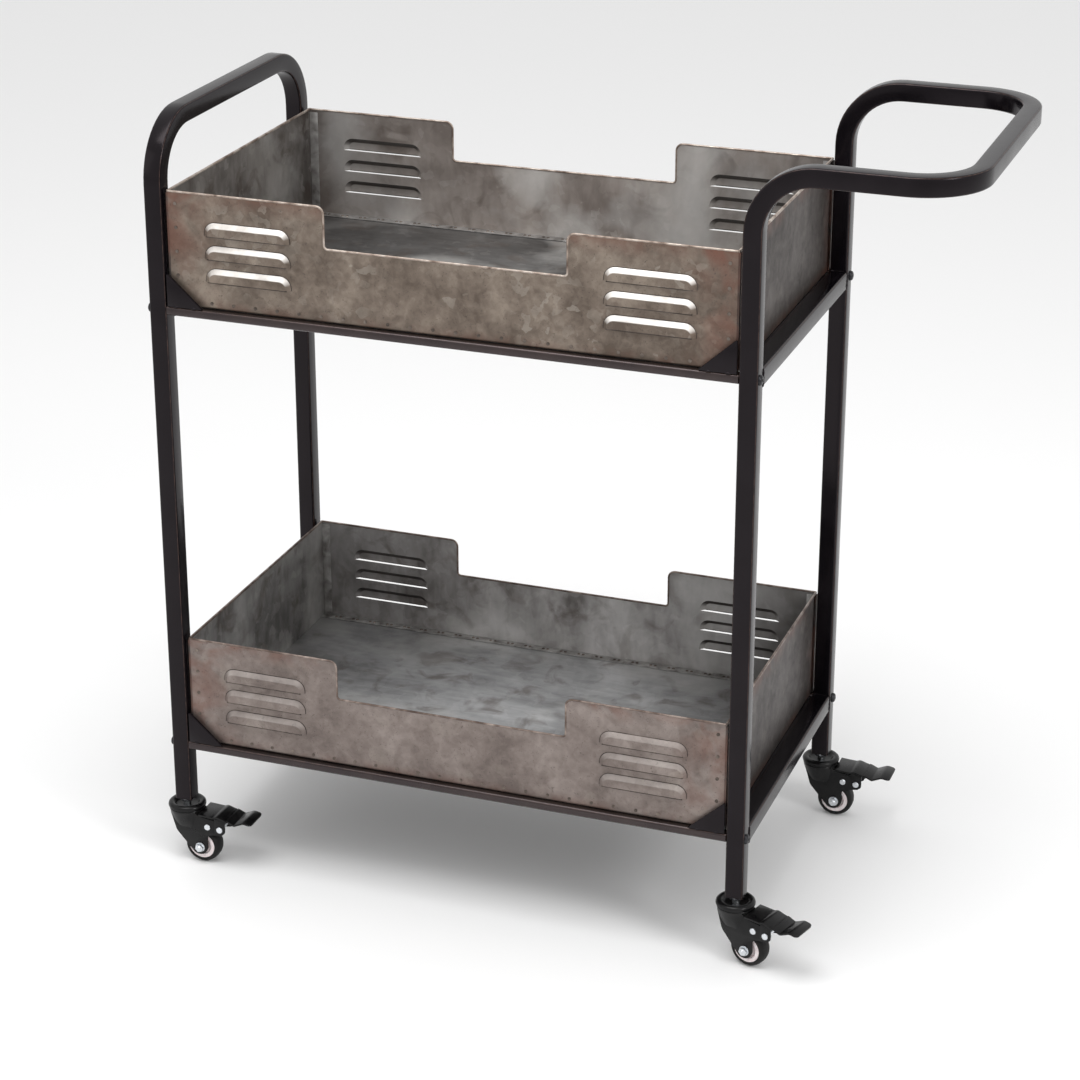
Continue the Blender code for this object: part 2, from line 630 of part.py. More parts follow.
def make_axle(name, axle_place):
    """Axle bolt with a round head behind and a hexagon nut on the front side."""
    seat = CHEEK_INNER + CHEEK_SHEET + GAP
    profile = [
        (4 * MM, seat + BOLT_HEAD_HEIGHT), (BOLT_HEAD_RADIUS, seat + BOLT_HEAD_HEIGHT / 2),
        (BOLT_HEAD_RADIUS, seat), (AXLE_RADIUS, seat), (AXLE_RADIUS, -seat - 4.6 * MM),
        (AXIS_RADIUS, -seat - 5.2 * MM), (AXIS_RADIUS, seat + 2.8 * MM),
    ]
    mesh = turned_mesh(name, profile, 10)
    fill_centre(mesh)
    mesh.transform(Matrix.Rotation(math.radians(-90), 4, "X"))
    axle = place(new_part(name, mesh, BRIGHT_ZINC), axle_place, (0, 0, 0))
    nut_mesh = cylinder_mesh(name + "_nut", AXLE_NUT_RADIUS, AXLE_NUT_HEIGHT, 6, "Y")
    nut = new_cutter(name + "_nut", nut_mesh)
    place(nut, axle_place, (0, -seat - AXLE_NUT_HEIGHT / 2, 0))
    combine(axle, nut, "UNION")


def make_pedal(name, pivot):
    """Stepped brake pedal, bent from sheet, with a lug on each side that hangs on the pivot rivet."""
    upper = [(x - PEDAL_PIVOT_X, z) for x, z in PEDAL_STEPS]
    upper.append((PEDAL_TIP_X - PEDAL_PIVOT_X, PEDAL_TIP_Z))
    lower = [(x, z - PEDAL_SHEET) for x, z in reversed(upper)]
    mesh = plate_mesh(name, lower + upper, PEDAL_WIDTH)
    pedal = place(new_part(name, mesh, BLACK_PRESSING), pivot, (0, 0, 0))
    inner = CHEEK_INNER + CHEEK_SHEET + GAP
    lug_outline = filleted(
        [(-PEDAL_LUG, 12 * MM), (-PEDAL_LUG, -PEDAL_LUG), (PEDAL_LUG, -PEDAL_LUG),
         (PEDAL_LUG, 10.6 * MM), (-3 * MM, 13.4 * MM)],
        [0, 6 * MM, 6 * MM, 0, 0], 4, True)
    hole_mesh = cylinder_mesh(name + "_hole", PEDAL_HOLE_RADIUS, 40 * MM, 12, "Y")
    hole = new_cutter(name + "_hole", hole_mesh)
    place(hole, pivot, (0, 0, 0))
    for label, y in (("front", -1), ("rear", 1)):
        lug_name = f"{name}_lug_{label}"
        lug = new_cutter(lug_name, plate_mesh(lug_name, lug_outline, CHEEK_SHEET))
        place(lug, pivot, (0, y * (inner + CHEEK_SHEET / 2), 0))
        combine(pedal, lug, "UNION")
    combine(pedal, hole, "DIFFERENCE")


def make_casters():
    for label, (x, y, turn) in CASTERS.items():
        swivel = bpy.data.objects.new(f"swivel_{label}", None)
        parts.objects.link(swivel)
        place(swivel, frame, (x * HALF_X, y * HALF_Y, 0), (0, 0, math.radians(turn)))
        axle_place = bpy.data.objects.new(f"axle_place_{label}", None)
        parts.objects.link(axle_place)
        place(axle_place, swivel, (TRAIL, 0, WHEEL_RADIUS))
        pivot = bpy.data.objects.new(f"pedal_pivot_{label}", None)
        parts.objects.link(pivot)
        place(pivot, swivel, (PEDAL_PIVOT_X, 0, RIVET_Z))
        make_stem(f"stem_{label}", swivel)
        make_fork(f"fork_{label}", swivel)
        make_wheel(f"wheel_{label}", axle_place)
        make_axle(f"axle_{label}", axle_place)
        make_pedal(f"pedal_{label}", pivot)


end_frames = make_end_frames()
make_rails()
make_gussets()
make_screws(end_frames)
make_trays()
make_casters()
bpy.context.view_layer.update()
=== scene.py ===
import json
import math

import bmesh
import bpy
from mathutils import Euler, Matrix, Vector


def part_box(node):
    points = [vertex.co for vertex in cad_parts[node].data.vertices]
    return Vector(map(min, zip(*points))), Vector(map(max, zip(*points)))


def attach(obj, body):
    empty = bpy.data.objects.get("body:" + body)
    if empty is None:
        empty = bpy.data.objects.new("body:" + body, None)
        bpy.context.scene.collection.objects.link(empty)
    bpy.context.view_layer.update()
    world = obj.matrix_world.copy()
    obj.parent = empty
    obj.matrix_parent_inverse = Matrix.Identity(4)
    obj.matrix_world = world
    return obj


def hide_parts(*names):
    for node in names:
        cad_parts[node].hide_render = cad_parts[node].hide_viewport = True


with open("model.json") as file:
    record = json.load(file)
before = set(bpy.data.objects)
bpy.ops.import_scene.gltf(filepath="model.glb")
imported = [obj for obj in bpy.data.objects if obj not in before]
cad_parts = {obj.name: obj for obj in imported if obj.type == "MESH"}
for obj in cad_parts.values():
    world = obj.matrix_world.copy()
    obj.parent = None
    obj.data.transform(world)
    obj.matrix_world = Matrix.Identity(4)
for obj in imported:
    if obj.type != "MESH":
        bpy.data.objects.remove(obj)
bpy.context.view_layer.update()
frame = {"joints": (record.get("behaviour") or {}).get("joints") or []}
MM = 0.001


# END FRAMES
# The hoop and the push handle are two lengths of 20 mm square steel tube with rolled corners.
# Each is bent cold round a 62 mm former, sawn off square at its feet and sprayed satin black.

TUBE = 20 * MM
TUBE_WALL = 1.5 * MM
TUBE_CORNER = 2.5 * MM
BEND_RADIUS = 62 * MM
BEND_STEPS = 14
MERGE_DISTANCE = 0.005 * MM
QUARTER = math.pi / 2


class Finish:
    """A material in the making, with its object coordinates and its shader."""

    def __init__(self, name, metallic, inputs=()):
        self.material = bpy.data.materials.new(name)
        self.material.use_nodes = True
        self.tree = self.material.node_tree
        self.shader = self.tree.nodes["Principled BSDF"]
        for socket, value in (("Metallic", metallic), *inputs):
            self.shader.inputs[socket].default_value = value
        self.place = self.node("ShaderNodeTexCoord").outputs["Object"]

    def node(self, kind, inputs=None, **settings):
        """Adds a node. Inputs are numbers to set or sockets to join."""
        node = self.tree.nodes.new(kind)
        for name, value in settings.items():
            setattr(node, name, value)
        for name, value in (inputs or {}).items():
            if isinstance(value, bpy.types.NodeSocket):
                self.tree.links.new(value, node.inputs[name])
            else:
                node.inputs[name].default_value = value
        return node

    def ramp(self, factor, stops):
        """Adds a colour ramp. Stops are (place, grey) or (place, red, green, blue)."""
        ramp = self.node("ShaderNodeValToRGB", {"Fac": factor})
        while len(ramp.color_ramp.elements) < len(stops):
            ramp.color_ramp.elements.new(0.5)
        for element, (place, *colour) in zip(ramp.color_ramp.elements, stops):
            element.position = place
            element.color = (*(colour * 3 if len(colour) == 1 else colour), 1)
        return ramp.outputs["Color"]

    def noise(self, scale, detail=3, distortion=0.0, place=None):
        inputs = {"Vector": place or self.place, "Scale": scale, "Detail": detail, "Distortion": distortion}
        return self.node("ShaderNodeTexNoise", inputs).outputs["Fac"]

    def mix(self, factor, first, second, blend="MIX"):
        inputs = {0: factor, 6: first, 7: second}
        return self.node("ShaderNodeMix", inputs, data_type="RGBA", blend_type=blend).outputs[2]

    def sum(self, first, second, operation="ADD"):
        return self.node("ShaderNodeMath", {0: first, 1: second}, operation=operation).outputs[0]

    def join(self, colour, roughness, height, distance):
        """Joins a colour, a roughness and a height map to the shader, and gives the finished material."""
        bump = self.node("ShaderNodeBump", {"Height": height, "Strength": 1.0, "Distance": distance})
        for socket, value in (
                ("Base Color", colour), ("Roughness", roughness), ("Normal", bump.outputs["Normal"])):
            self.tree.links.new(value, self.shader.inputs[socket])
        return self.material


def black_spray_paint(name, dark, light, gloss):
    """Satin black spray paint on steel: fine orange peel, dull patches and corners rubbed to brown."""
    look = Finish(name, 0.0, [("Specular IOR Level", gloss), ("Specular Tint", (1.0, 0.87, 0.91, 1))])
    patches = look.noise(22, 4)
    peel = look.noise(900, 2)
    grit = look.noise(240, 3)
    body = look.ramp(patches, [(0.3, *dark), (0.7, *light)])
    corner = look.node("ShaderNodeAttribute", attribute_name="rubbed").outputs["Fac"]
    rubbed = look.ramp(corner, [(0.35, 0), (0.95, 1)])
    broken = look.ramp(grit, [(0.38, 0.25), (0.62, 1)])
    wear_and_sheen_patches = look.mix(1.0, rubbed, broken, "MULTIPLY")
    colour = look.mix(wear_and_sheen_patches, body, (0.060, 0.036, 0.028, 1))
    roughness = look.ramp(patches, [(0.25, 0.15), (0.75, 0.25)])
    return look.join(colour, roughness, look.sum(peel, grit), 0.00003)


BLACK_PAINT = black_spray_paint("satin_black_paint", (0.0020, 0.0016, 0.0023), (0.0050, 0.0040, 0.0052), 0.21)


def pick(kind, test):
    """In edit mode, selects the vertices, edges or faces of the active piece that pass a test."""
    bpy.ops.mesh.select_all(action="DESELECT")
    bpy.ops.mesh.select_mode(type=kind)
    mesh = bpy.context.object.data
    shape = bmesh.from_edit_mesh(mesh)
    for item in {"VERT": shape.verts, "EDGE": shape.edges, "FACE": shape.faces}[kind]:
        item.select_set(test(item))
    shape.select_flush_mode()
    bmesh.update_edit_mesh(mesh)


def middle(item):
    """Middle of an edge or a face."""
    return sum((vert.co for vert in item.verts), Vector()) / len(item.verts)


def settle(piece, name):
    """Names a new primitive and puts its place, turn and size into its mesh."""
    piece.name = name
    piece.data.name = name
    bpy.ops.object.transform_apply(location=True, rotation=True, scale=True)
    return piece


PRIMITIVES = {
    "plane": bpy.ops.mesh.primitive_plane_add, "cube": bpy.ops.mesh.primitive_cube_add,
    "circle": bpy.ops.mesh.primitive_circle_add, "cylinder": bpy.ops.mesh.primitive_cylinder_add,
    "grid": bpy.ops.mesh.primitive_grid_add, "ball": bpy.ops.mesh.primitive_ico_sphere_add,
}


def mode(kind):
    bpy.ops.object.mode_set(mode=kind)


def bevel(offset, segments, affect="EDGES"):
    bpy.ops.mesh.bevel(offset=offset, segments=segments, affect=affect)


def start_piece(name, kind, scale=(1, 1, 1), edit=True, **shape):
    """Adds a primitive with its size kept in its mesh, and opens it in edit mode unless told not to."""
    bpy.ops.object.select_all(action="DESELECT")
    PRIMITIVES[kind](**shape)
    bpy.context.object.scale = scale
    piece = settle(bpy.context.object, name)
    if edit:
        mode("EDIT")
    return piece


def take_all():
    bpy.ops.mesh.select_all(action="SELECT")


def face_out():
    """Turns all faces outwards."""
    take_all()
    bpy.ops.mesh.normals_make_consistent(inside=False)


def extrude(step):
    bpy.ops.mesh.extrude_region_move(TRANSFORM_OT_translate={"value": step})


def tube_end(name, centre, turn, size, corner, wall):
    """Sawn end of a tube: a ring with rounded corners, left selected in edit mode.
    The middle of each corner is marked as rubbed, and the mark runs on with every extrusion."""
    tube = start_piece(name, "plane", (*size, 1), size=1, location=centre, rotation=turn)
    bevel(corner, 4, "VERTICES")
    take_all()
    bpy.ops.mesh.inset(thickness=wall)
    bpy.ops.mesh.delete(type="FACE")
    shape = bmesh.from_edit_mesh(tube.data)
    rubbed = shape.verts.layers.float.new("rubbed")
    upright = Euler(turn).to_matrix().transposed()
    for vert in shape.verts:
        u, v, _ = upright @ (vert.co - Vector(centre))
        inset = min(size[0] / 2 - abs(u), size[1] / 2 - abs(v))
        vert[rubbed] = float(0.2 * corner < inset < 0.45 * corner)
    bmesh.update_edit_mesh(tube.data)
    bpy.ops.mesh.select_mode(type="FACE")
    take_all()
    return tube


def smooth(angle):
    bpy.ops.object.shade_smooth_by_angle(angle=math.radians(angle))


def close_up(angle=35):
    """Merges doubles, turns all faces outwards and leaves edit mode with smooth shading."""
    take_all()
    bpy.ops.mesh.remove_doubles(threshold=MERGE_DISTANCE)
    face_out()
    mode("OBJECT")
    smooth(angle)


def bend(centre, axis, side):
    """Carries the tube's open end round a quarter bend."""
    bpy.ops.mesh.spin(steps=BEND_STEPS, angle=side * QUARTER, center=centre, axis=axis)


def dress(piece, finish, body="body", replaced=()):
    """Gives a finished piece its finish and the CAD body that it moves with."""
    piece.data.materials.clear()
    piece.data.materials.append(finish)
    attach(piece, body)
    if replaced:
        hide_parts(*replaced)


left_low, left_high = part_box("frame_left")
right_low, right_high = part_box("frame_right")
LEFT_X = (left_low.x + left_high.x) / 2
RIGHT_X = right_low.x + TUBE / 2
FRONT_Y = left_low.y + TUBE / 2
REAR_Y = left_high.y - TUBE / 2
FOOT_Z = left_low.z
MIDDLE_X = (LEFT_X + RIGHT_X) / 2
MIDDLE_Y = (FRONT_Y + REAR_Y) / 2
hoop_z = left_high.z - TUBE / 2
handle_z = right_high.z - TUBE / 2
grip_x = right_high.x - TUBE / 2

hoop = tube_end("end_hoop", (LEFT_X, FRONT_Y, FOOT_Z), (0, 0, 0), (TUBE, TUBE), TUBE_CORNER, TUBE_WALL)
extrude((0, 0, hoop_z - BEND_RADIUS - FOOT_Z))
bend((LEFT_X, FRONT_Y + BEND_RADIUS, hoop_z - BEND_RADIUS), (1, 0, 0), 1)
extrude((0, REAR_Y - FRONT_Y - 2 * BEND_RADIUS, 0))
bend((LEFT_X, REAR_Y - BEND_RADIUS, hoop_z - BEND_RADIUS), (1, 0, 0), 1)
extrude((0, 0, FOOT_Z - hoop_z + BEND_RADIUS))
close_up()
dress(hoop, BLACK_PAINT, replaced=["frame_left"])

handle = tube_end("push_handle", (RIGHT_X, FRONT_Y, FOOT_Z), (0, 0, 0), (TUBE, TUBE), TUBE_CORNER, TUBE_WALL)
extrude((0, 0, handle_z - BEND_RADIUS - FOOT_Z))
bend((RIGHT_X + BEND_RADIUS, FRONT_Y, handle_z - BEND_RADIUS), (0, 1, 0), -1)
extrude((grip_x - RIGHT_X - 2 * BEND_RADIUS, 0, 0))
bend((grip_x - BEND_RADIUS, FRONT_Y + BEND_RADIUS, handle_z), (0, 0, 1), -1)
extrude((0, REAR_Y - FRONT_Y - 2 * BEND_RADIUS, 0))
bend((grip_x - BEND_RADIUS, REAR_Y - BEND_RADIUS, handle_z), (0, 0, 1), -1)
extrude((RIGHT_X + 2 * BEND_RADIUS - grip_x, 0, 0))
bend((RIGHT_X + BEND_RADIUS, REAR_Y, handle_z - BEND_RADIUS), (0, 1, 0), 1)
extrude((0, 0, FOOT_Z - handle_z + BEND_RADIUS))
close_up()
dress(handle, BLACK_PAINT, replaced=["frame_right"])


# CROSS RAILS
# Four short lengths of the same square tube join the posts at each end, one pair under each tray.
# Each is sawn square and welded all round, so a rippled bead stands at both of its ends.

BEAD = 2.2 * MM
BEAD_SINK = 0.4 * MM
LEVELS = ("upper", "lower")


def activate(*pieces):
    """Selects these pieces alone and makes the first one active."""
    bpy.ops.object.select_all(action="DESELECT")
    for piece in pieces:
        piece.select_set(True)
    bpy.context.view_layer.objects.active = pieces[0]


def copy_piece(source, name, shift=(0, 0, 0), turn=0.0, mirror=(1, 1, 1)):
    """Another of the same piece with its own mesh: mirrored and turned about the origin, then moved."""
    activate(source)
    bpy.ops.object.duplicate()
    piece = bpy.context.object
    piece.location = shift
    piece.rotation_euler.z = turn
    piece.scale = mirror
    settle(piece, name)
    if mirror[0] * mirror[1] * mirror[2] < 0:
        mode("EDIT")
        face_out()
        mode("OBJECT")
    return piece


def outline_to_bead(thickness, ripple):
    """Turns the active piece's loose edges into a round bead, its thickness rising and falling."""
    bpy.ops.object.convert(target="CURVE")
    curve = bpy.context.object.data
    curve.bevel_depth = thickness / 2
    curve.bevel_resolution = 2
    curve.use_fill_caps = True
    for spline in curve.splines:
        for index, point in enumerate(spline.points):
            point.radius = 1 - ripple * (index % 2)
    bpy.ops.object.convert(target="MESH")
    mode("EDIT")
    close_up(60)


def join_pieces(pieces, name):
    """Joins several pieces into the first one."""
    activate(*pieces)
    bpy.ops.object.join()
    return settle(bpy.context.object, name)


def weld_ring(name, centre):
    """Bead round the end of a cross rail, where it meets the flat of a post."""
    ring = start_piece(name, "plane", size=TUBE, location=centre, rotation=(QUARTER, 0, 0))
    bevel(TUBE_CORNER, 2, "VERTICES")
    take_all()
    bpy.ops.mesh.delete(type="ONLY_FACE")
    take_all()
    bpy.ops.mesh.subdivide(number_cuts=5)
    mode("OBJECT")
    outline_to_bead(BEAD, 0.3)
    return ring


rail_low, rail_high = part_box("cross_rail_left_upper")
rail_z = (rail_low.z + rail_high.z) / 2
first_rail = tube_end(
    "cross_rail", (LEFT_X, rail_low.y, rail_z), (-QUARTER, 0, 0), (TUBE, TUBE), TUBE_CORNER, TUBE_WALL)
extrude((0, rail_high.y - rail_low.y, 0))
close_up()
first_weld = join_pieces([
    weld_ring("front_bead", (LEFT_X, rail_low.y + BEAD_SINK, rail_z)),
    weld_ring("rear_bead", (LEFT_X, rail_high.y - BEAD_SINK, rail_z)),
], "cross_rail_welds")
for level in LEVELS:
    for side, x in (("left", LEFT_X), ("right", RIGHT_X)):
        node = f"cross_rail_{side}_{level}"
        shift = (x - LEFT_X, 0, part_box(node)[0].z - rail_low.z)
        dress(copy_piece(first_rail, f"{node}_tube", shift), BLACK_PAINT, replaced=[node])
        dress(copy_piece(first_weld, f"{node}_welds", shift), BLACK_PAINT)
for spare in (first_rail, first_weld):
    bpy.data.objects.remove(spare)


# LONG RAILS
# Low flat tubes run between the posts, front and rear, and carry the trays.
# Their upper outer edges are rolled to a larger radius than the posts', and they are held by screws.

RAIL_CORNER = 3.2 * MM
RAIL_WALL = 1 * MM

RUBBED_PAINT = black_spray_paint("rubbed_black_paint", (0.010, 0.0072, 0.0066), (0.026, 0.0185, 0.0162), 0.48)

low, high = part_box("long_rail_front_upper")
RAIL_SIZE = (high.z - low.z, high.y - low.y)
rail_middle = (low + high) / 2
first_rail = tube_end(
    "long_rail", (low.x, rail_middle.y, rail_middle.z), (0, QUARTER, 0), RAIL_SIZE, RAIL_CORNER, RAIL_WALL)
extrude((high.x - low.x, 0, 0))
close_up()
for level in LEVELS:
    for side in ("front", "rear"):
        node = f"long_rail_{side}_{level}"
        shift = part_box(node)[0] - low
        dress(copy_piece(first_rail, f"{node}_tube", shift), RUBBED_PAINT, replaced=[node])
bpy.data.objects.remove(first_rail)


# GUSSETS
# Eight triangles cut from 3 mm plate stand on the ends of the long rails, a hair clear of the posts.
# Their cut edges are dressed with a file, and each is tacked to its rail with two short welds.

GUSSET_TIP = 2 * MM
FILED_EDGE = 0.45 * MM
TACK = (3.2 * MM, 1.0 * MM, 1.3 * MM)


def tack_weld(name, centre):
    """Short flattened blob of weld metal."""
    blob = start_piece(name, "ball", TACK, subdivisions=2, radius=1, location=centre)
    bpy.ops.transform.vertex_random(offset=0.25 * MM, seed=3)
    close_up(70)
    return blob


low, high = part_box("gusset_front_left_upper")
first_gusset = start_piece("gusset", "cube", high - low, size=1, location=(low + high) / 2)
pick("VERT", lambda vert: vert.co.z > high.z - MM and vert.co.x > high.x - MM)
bpy.ops.transform.translate(value=(low.x - high.x + GUSSET_TIP, 0, 0))
pick("EDGE", lambda edge: middle(edge).x > high.x - MM and middle(edge).z < low.z + MM)
bevel(1.5 * MM, 2)
pick("EDGE", lambda edge: len(edge.link_faces) == 2 and edge.calc_face_angle(0) > 0.6)
bevel(FILED_EDGE, 2)
close_up(30)
tacks = join_pieces([
    tack_weld("near_tack", (low.x + 9 * MM, low.y + 0.4 * MM, low.z + 0.2 * MM)),
    tack_weld("far_tack", (high.x - 11 * MM, low.y + 0.4 * MM, low.z + 0.2 * MM)),
], "gusset_tacks")
for level in LEVELS:
    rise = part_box(f"gusset_front_left_{level}")[0].z - low.z
    for depth, flip_y in (("front", 1), ("rear", -1)):
        for side, flip_x in (("left", 1), ("right", -1)):
            node = f"gusset_{depth}_{side}_{level}"
            shift = (MIDDLE_X * (1 - flip_x), MIDDLE_Y * (1 - flip_y), rise)
            plate = copy_piece(first_gusset, f"{node}_plate", shift, mirror=(flip_x, flip_y, 1))
            dress(plate, BLACK_PAINT, replaced=[node])
            blobs = copy_piece(tacks, f"{node}_tacks", shift, mirror=(flip_x, flip_y, 1))
            dress(blobs, BLACK_PAINT)
for spare in (first_gusset, tacks):
    bpy.data.objects.remove(spare)


# RAIL SCREWS
# Black button-head screws with a hexagon socket pass through the posts into the ends of the long rails.

SCREW_HEAD = 11 * MM
HEAD_HEIGHT = 3.2 * MM
SOCKET = 4 * MM


def clouded(name, metallic, cloud, colours, roughness, grain, relief, inputs=()):
    """A finish with its colour and roughness from one noise and its relief from another."""
    look = Finish(name, metallic, inputs)
    spread = look.noise(*cloud)
    return look.join(look.ramp(spread, colours), look.ramp(spread, roughness), look.noise(*grain), relief)


# Blackened screw steel: dark, slightly blue, with a polished crown
BLACK_OXIDE = clouded(
    "black_oxide_steel", 0.85, (160, 3), [(0.3, 0.018, 0.018, 0.02), (0.7, 0.05, 0.05, 0.054)],
    [(0.3, 0.24), (0.7, 0.40)], (1500, 2), 0.00002)


def modify(piece, kind, **settings):
    """Adds a modifier to a piece and applies it."""
    activate(piece)
    modifier = piece.modifiers.new(kind.lower(), kind)
    for name, value in settings.items():
        setattr(modifier, name, value)
    bpy.ops.object.modifier_apply(modifier=modifier.name)


low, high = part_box("screw_left_front_upper")
screw_y = (low.y + high.y) / 2
screw_z = (low.z + high.z) / 2
seat_x = LEFT_X - TUBE / 2
first_screw = start_piece(
    "rail_screw", "cylinder", vertices=24, radius=SCREW_HEAD / 2, depth=HEAD_HEIGHT,
    location=(seat_x - HEAD_HEIGHT / 2, screw_y, screw_z), rotation=(0, -QUARTER, 0))
pick("EDGE", lambda edge: all(vert.co.x < seat_x - HEAD_HEIGHT / 2 for vert in edge.verts))
bevel(HEAD_HEIGHT - 0.5 * MM, 5)
close_up(40)
socket = start_piece(
    "hexagon_socket", "cylinder", edit=False, vertices=6, radius=SOCKET / 2, depth=2 * MM,
    location=(seat_x - HEAD_HEIGHT, screw_y, screw_z), rotation=(0, -QUARTER, 0))
modify(first_screw, "BOOLEAN", object=socket, solver="EXACT")
bpy.data.objects.remove(socket)
for level in LEVELS:
    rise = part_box(f"screw_left_front_{level}")[0].z - low.z
    for side, flip_x in (("left", 1), ("right", -1)):
        for depth, flip_y in (("front", 1), ("rear", -1)):
            node = f"screw_{side}_{depth}_{level}"
            shift = (MIDDLE_X * (1 - flip_x), MIDDLE_Y * (1 - flip_y), rise)
            head = copy_piece(first_screw, f"{node}_head", shift, mirror=(flip_x, flip_y, 1))
            dress(head, BLACK_OXIDE, replaced=[node])
bpy.data.objects.remove(first_screw)


# TRAY SIDE PANELS
# Each long side of a tray is 1 mm galvanised sheet with its middle cut down and six louvres pressed outwards.
# The bottom edge is folded under on a soft radius, with spot welds along it, and the upper edge is rolled.

SHEET = 1 * MM
FLANGE = 13 * MM
FOLD_RADIUS = 3 * MM
NOTCH_HALF = 132.5 * MM
NOTCH_DEPTH = 45 * MM
NOTCH_TOP_RADIUS = 8 * MM
NOTCH_FOOT_RADIUS = 4 * MM
LOUVRE_X = 219.5 * MM
LOUVRE_LENGTH = 97.5 * MM
LOUVRE_HEIGHT = 15 * MM
LOUVRE_DEPTH = 4.3 * MM
LOUVRE_CORNER = 12.5 * MM
PRESSED_SHEET = 0.9 * MM
SHOULDER = 5.2 * MM
SLOT_HEIGHTS = (30.5 * MM, 55.5 * MM, 80.5 * MM)
HEM = 2.4 * MM
HEM_LIFT = 0.4 * MM


def tray_range(level):
    """Lowest and highest corner of a tray's sheet box, louvres left out."""
    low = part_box(f"tray_end_left_{level}")[0]
    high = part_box(f"tray_end_right_{level}")[1]
    return low, high


def from_middle(look, level):
    """Place on a tray as -1..1 along, -1..1 across and 0..1 up."""
    low, high = tray_range(level)
    centred = look.node("ShaderNodeMapping", {"Vector": look.place, "Location": (
        -(low.x + high.x) / (high.x - low.x), -(low.y + high.y) / (high.y - low.y), -low.z / (high.z - low.z)),
        "Scale": (2 / (high.x - low.x), 2 / (high.y - low.y), 1 / (high.z - low.z))})
    return look.node("ShaderNodeSeparateXYZ", {"Vector": centred.outputs[0]}).outputs


def spangle(look, scale):
    """Random shade of each crystal of the zinc, its borders bent by noise."""
    warp = look.node("ShaderNodeTexNoise", {"Vector": look.place, "Scale": 60.0, "Detail": 2.0})
    bent = look.node("ShaderNodeMix", {0: 0.018, 4: look.place, 5: warp.outputs["Color"]}, data_type="VECTOR")
    cells = look.node("ShaderNodeTexVoronoi", {"Vector": bent.outputs[1], "Scale": scale})
    return look.node("ShaderNodeSeparateColor", {"Color": cells.outputs["Color"]}).outputs[0]


def leaning(look, low, high):
    """0 where the face's upward lean is at the first value, rising to 1 at the second."""
    normal = look.node("ShaderNodeTexCoord").outputs["Normal"]
    lean = look.node("ShaderNodeSeparateXYZ", {"Vector": normal}).outputs[2]
    mask = look.node("ShaderNodeMapRange", {"Value": lean, "From Min": low, "From Max": high})
    return mask.outputs[0]


def add_weighted(look, *parts):
    """Sum of several factors, each given as (factor, weight)."""
    scaled = [look.sum(factor, weight, "MULTIPLY") for factor, weight in parts]
    total = scaled[0]
    for part in scaled[1:]:
        total = look.sum(total, part)
    return total


def aged_outside(name, level, dark, brown, pale, cells, fleck, highlight_strength):
    """Outer face of a tray: galvanised sheet gone brown, spangled and flecked, rust-red near its edges, with a
    painted highlight on faces that lean upwards.
    """
    look = Finish(f"aged_zinc_{name}_{level}", 0.55)
    along, across, up = from_middle(look, level)
    crystal = spangle(look, cells)
    cloud = look.noise(15, 3, 0.5)
    speckle = look.noise(150, 4, 0.6)
    mottle = look.noise(52, 4, 0.9)
    shade = add_weighted(look, (crystal, 0.05), (cloud, 0.48), (speckle, 0.17), (mottle, 0.30))
    colour = look.ramp(shade, [(0.38, *dark), (0.50, *brown), (0.62, *pale)])
    flake = look.ramp(spangle(look, 1.3 * cells), [(0.72, 0), (0.95, fleck)])
    frost = look.ramp(look.noise(20, 2), [(0.44, 0.1), (0.62, 1)])
    flecks = look.mix(1.0, flake, frost, "MULTIPLY")
    colour = look.mix(flecks, colour, (0.36, 0.325, 0.28, 1))
    near_end = look.ramp(look.sum(along, 0, "ABSOLUTE"), [(0.80, 0), (1.0, 0.7)])
    near_side = look.ramp(look.sum(across, 0, "ABSOLUTE"), [(0.80, 0), (1.0, 1)])
    ends = look.mix(1.0, near_end, near_side, "MULTIPLY")
    rims = look.ramp(up, [(0.0, 0.45), (0.10, 0.0), (0.84, 0.0), (1.0, 0.6)])
    blotch = look.ramp(look.noise(26, 4, 0.8), [(0.40, 0), (0.62, 1)])
    rust = look.mix(1.0, look.mix(1.0, ends, rims, "ADD"), blotch, "MULTIPLY")
    colour = look.mix(rust, colour, (0.165, 0.075, 0.053, 1))
    scuff = look.ramp(look.noise(320, 2, 2.0), [(0.30, 0.5), (0.36, 0)])
    colour = look.mix(scuff, colour, (0.035, 0.028, 0.025, 1))
    # Painted highlight: faces leaning upwards, chiefly the louvres' top shoulders, are mixed towards
    # near-white, broken up by noise.
    wear_and_sheen_patches = look.ramp(look.noise(45, 3), [(0.35, 0.6 * highlight_strength), (0.60, highlight_strength)])
    shoulder = look.mix(1.0, leaning(look, 0.18, 0.50), wear_and_sheen_patches, "MULTIPLY")
    colour = look.mix(shoulder, colour, (0.90, 0.87, 0.83, 1))
    roughness = look.ramp(shade, [(0.36, 0.55), (0.64, 0.40)])
    height = add_weighted(look, (look.noise(9, 2), 6.0), (speckle, 0.6))
    return look.join(colour, roughness, height, 0.00007)


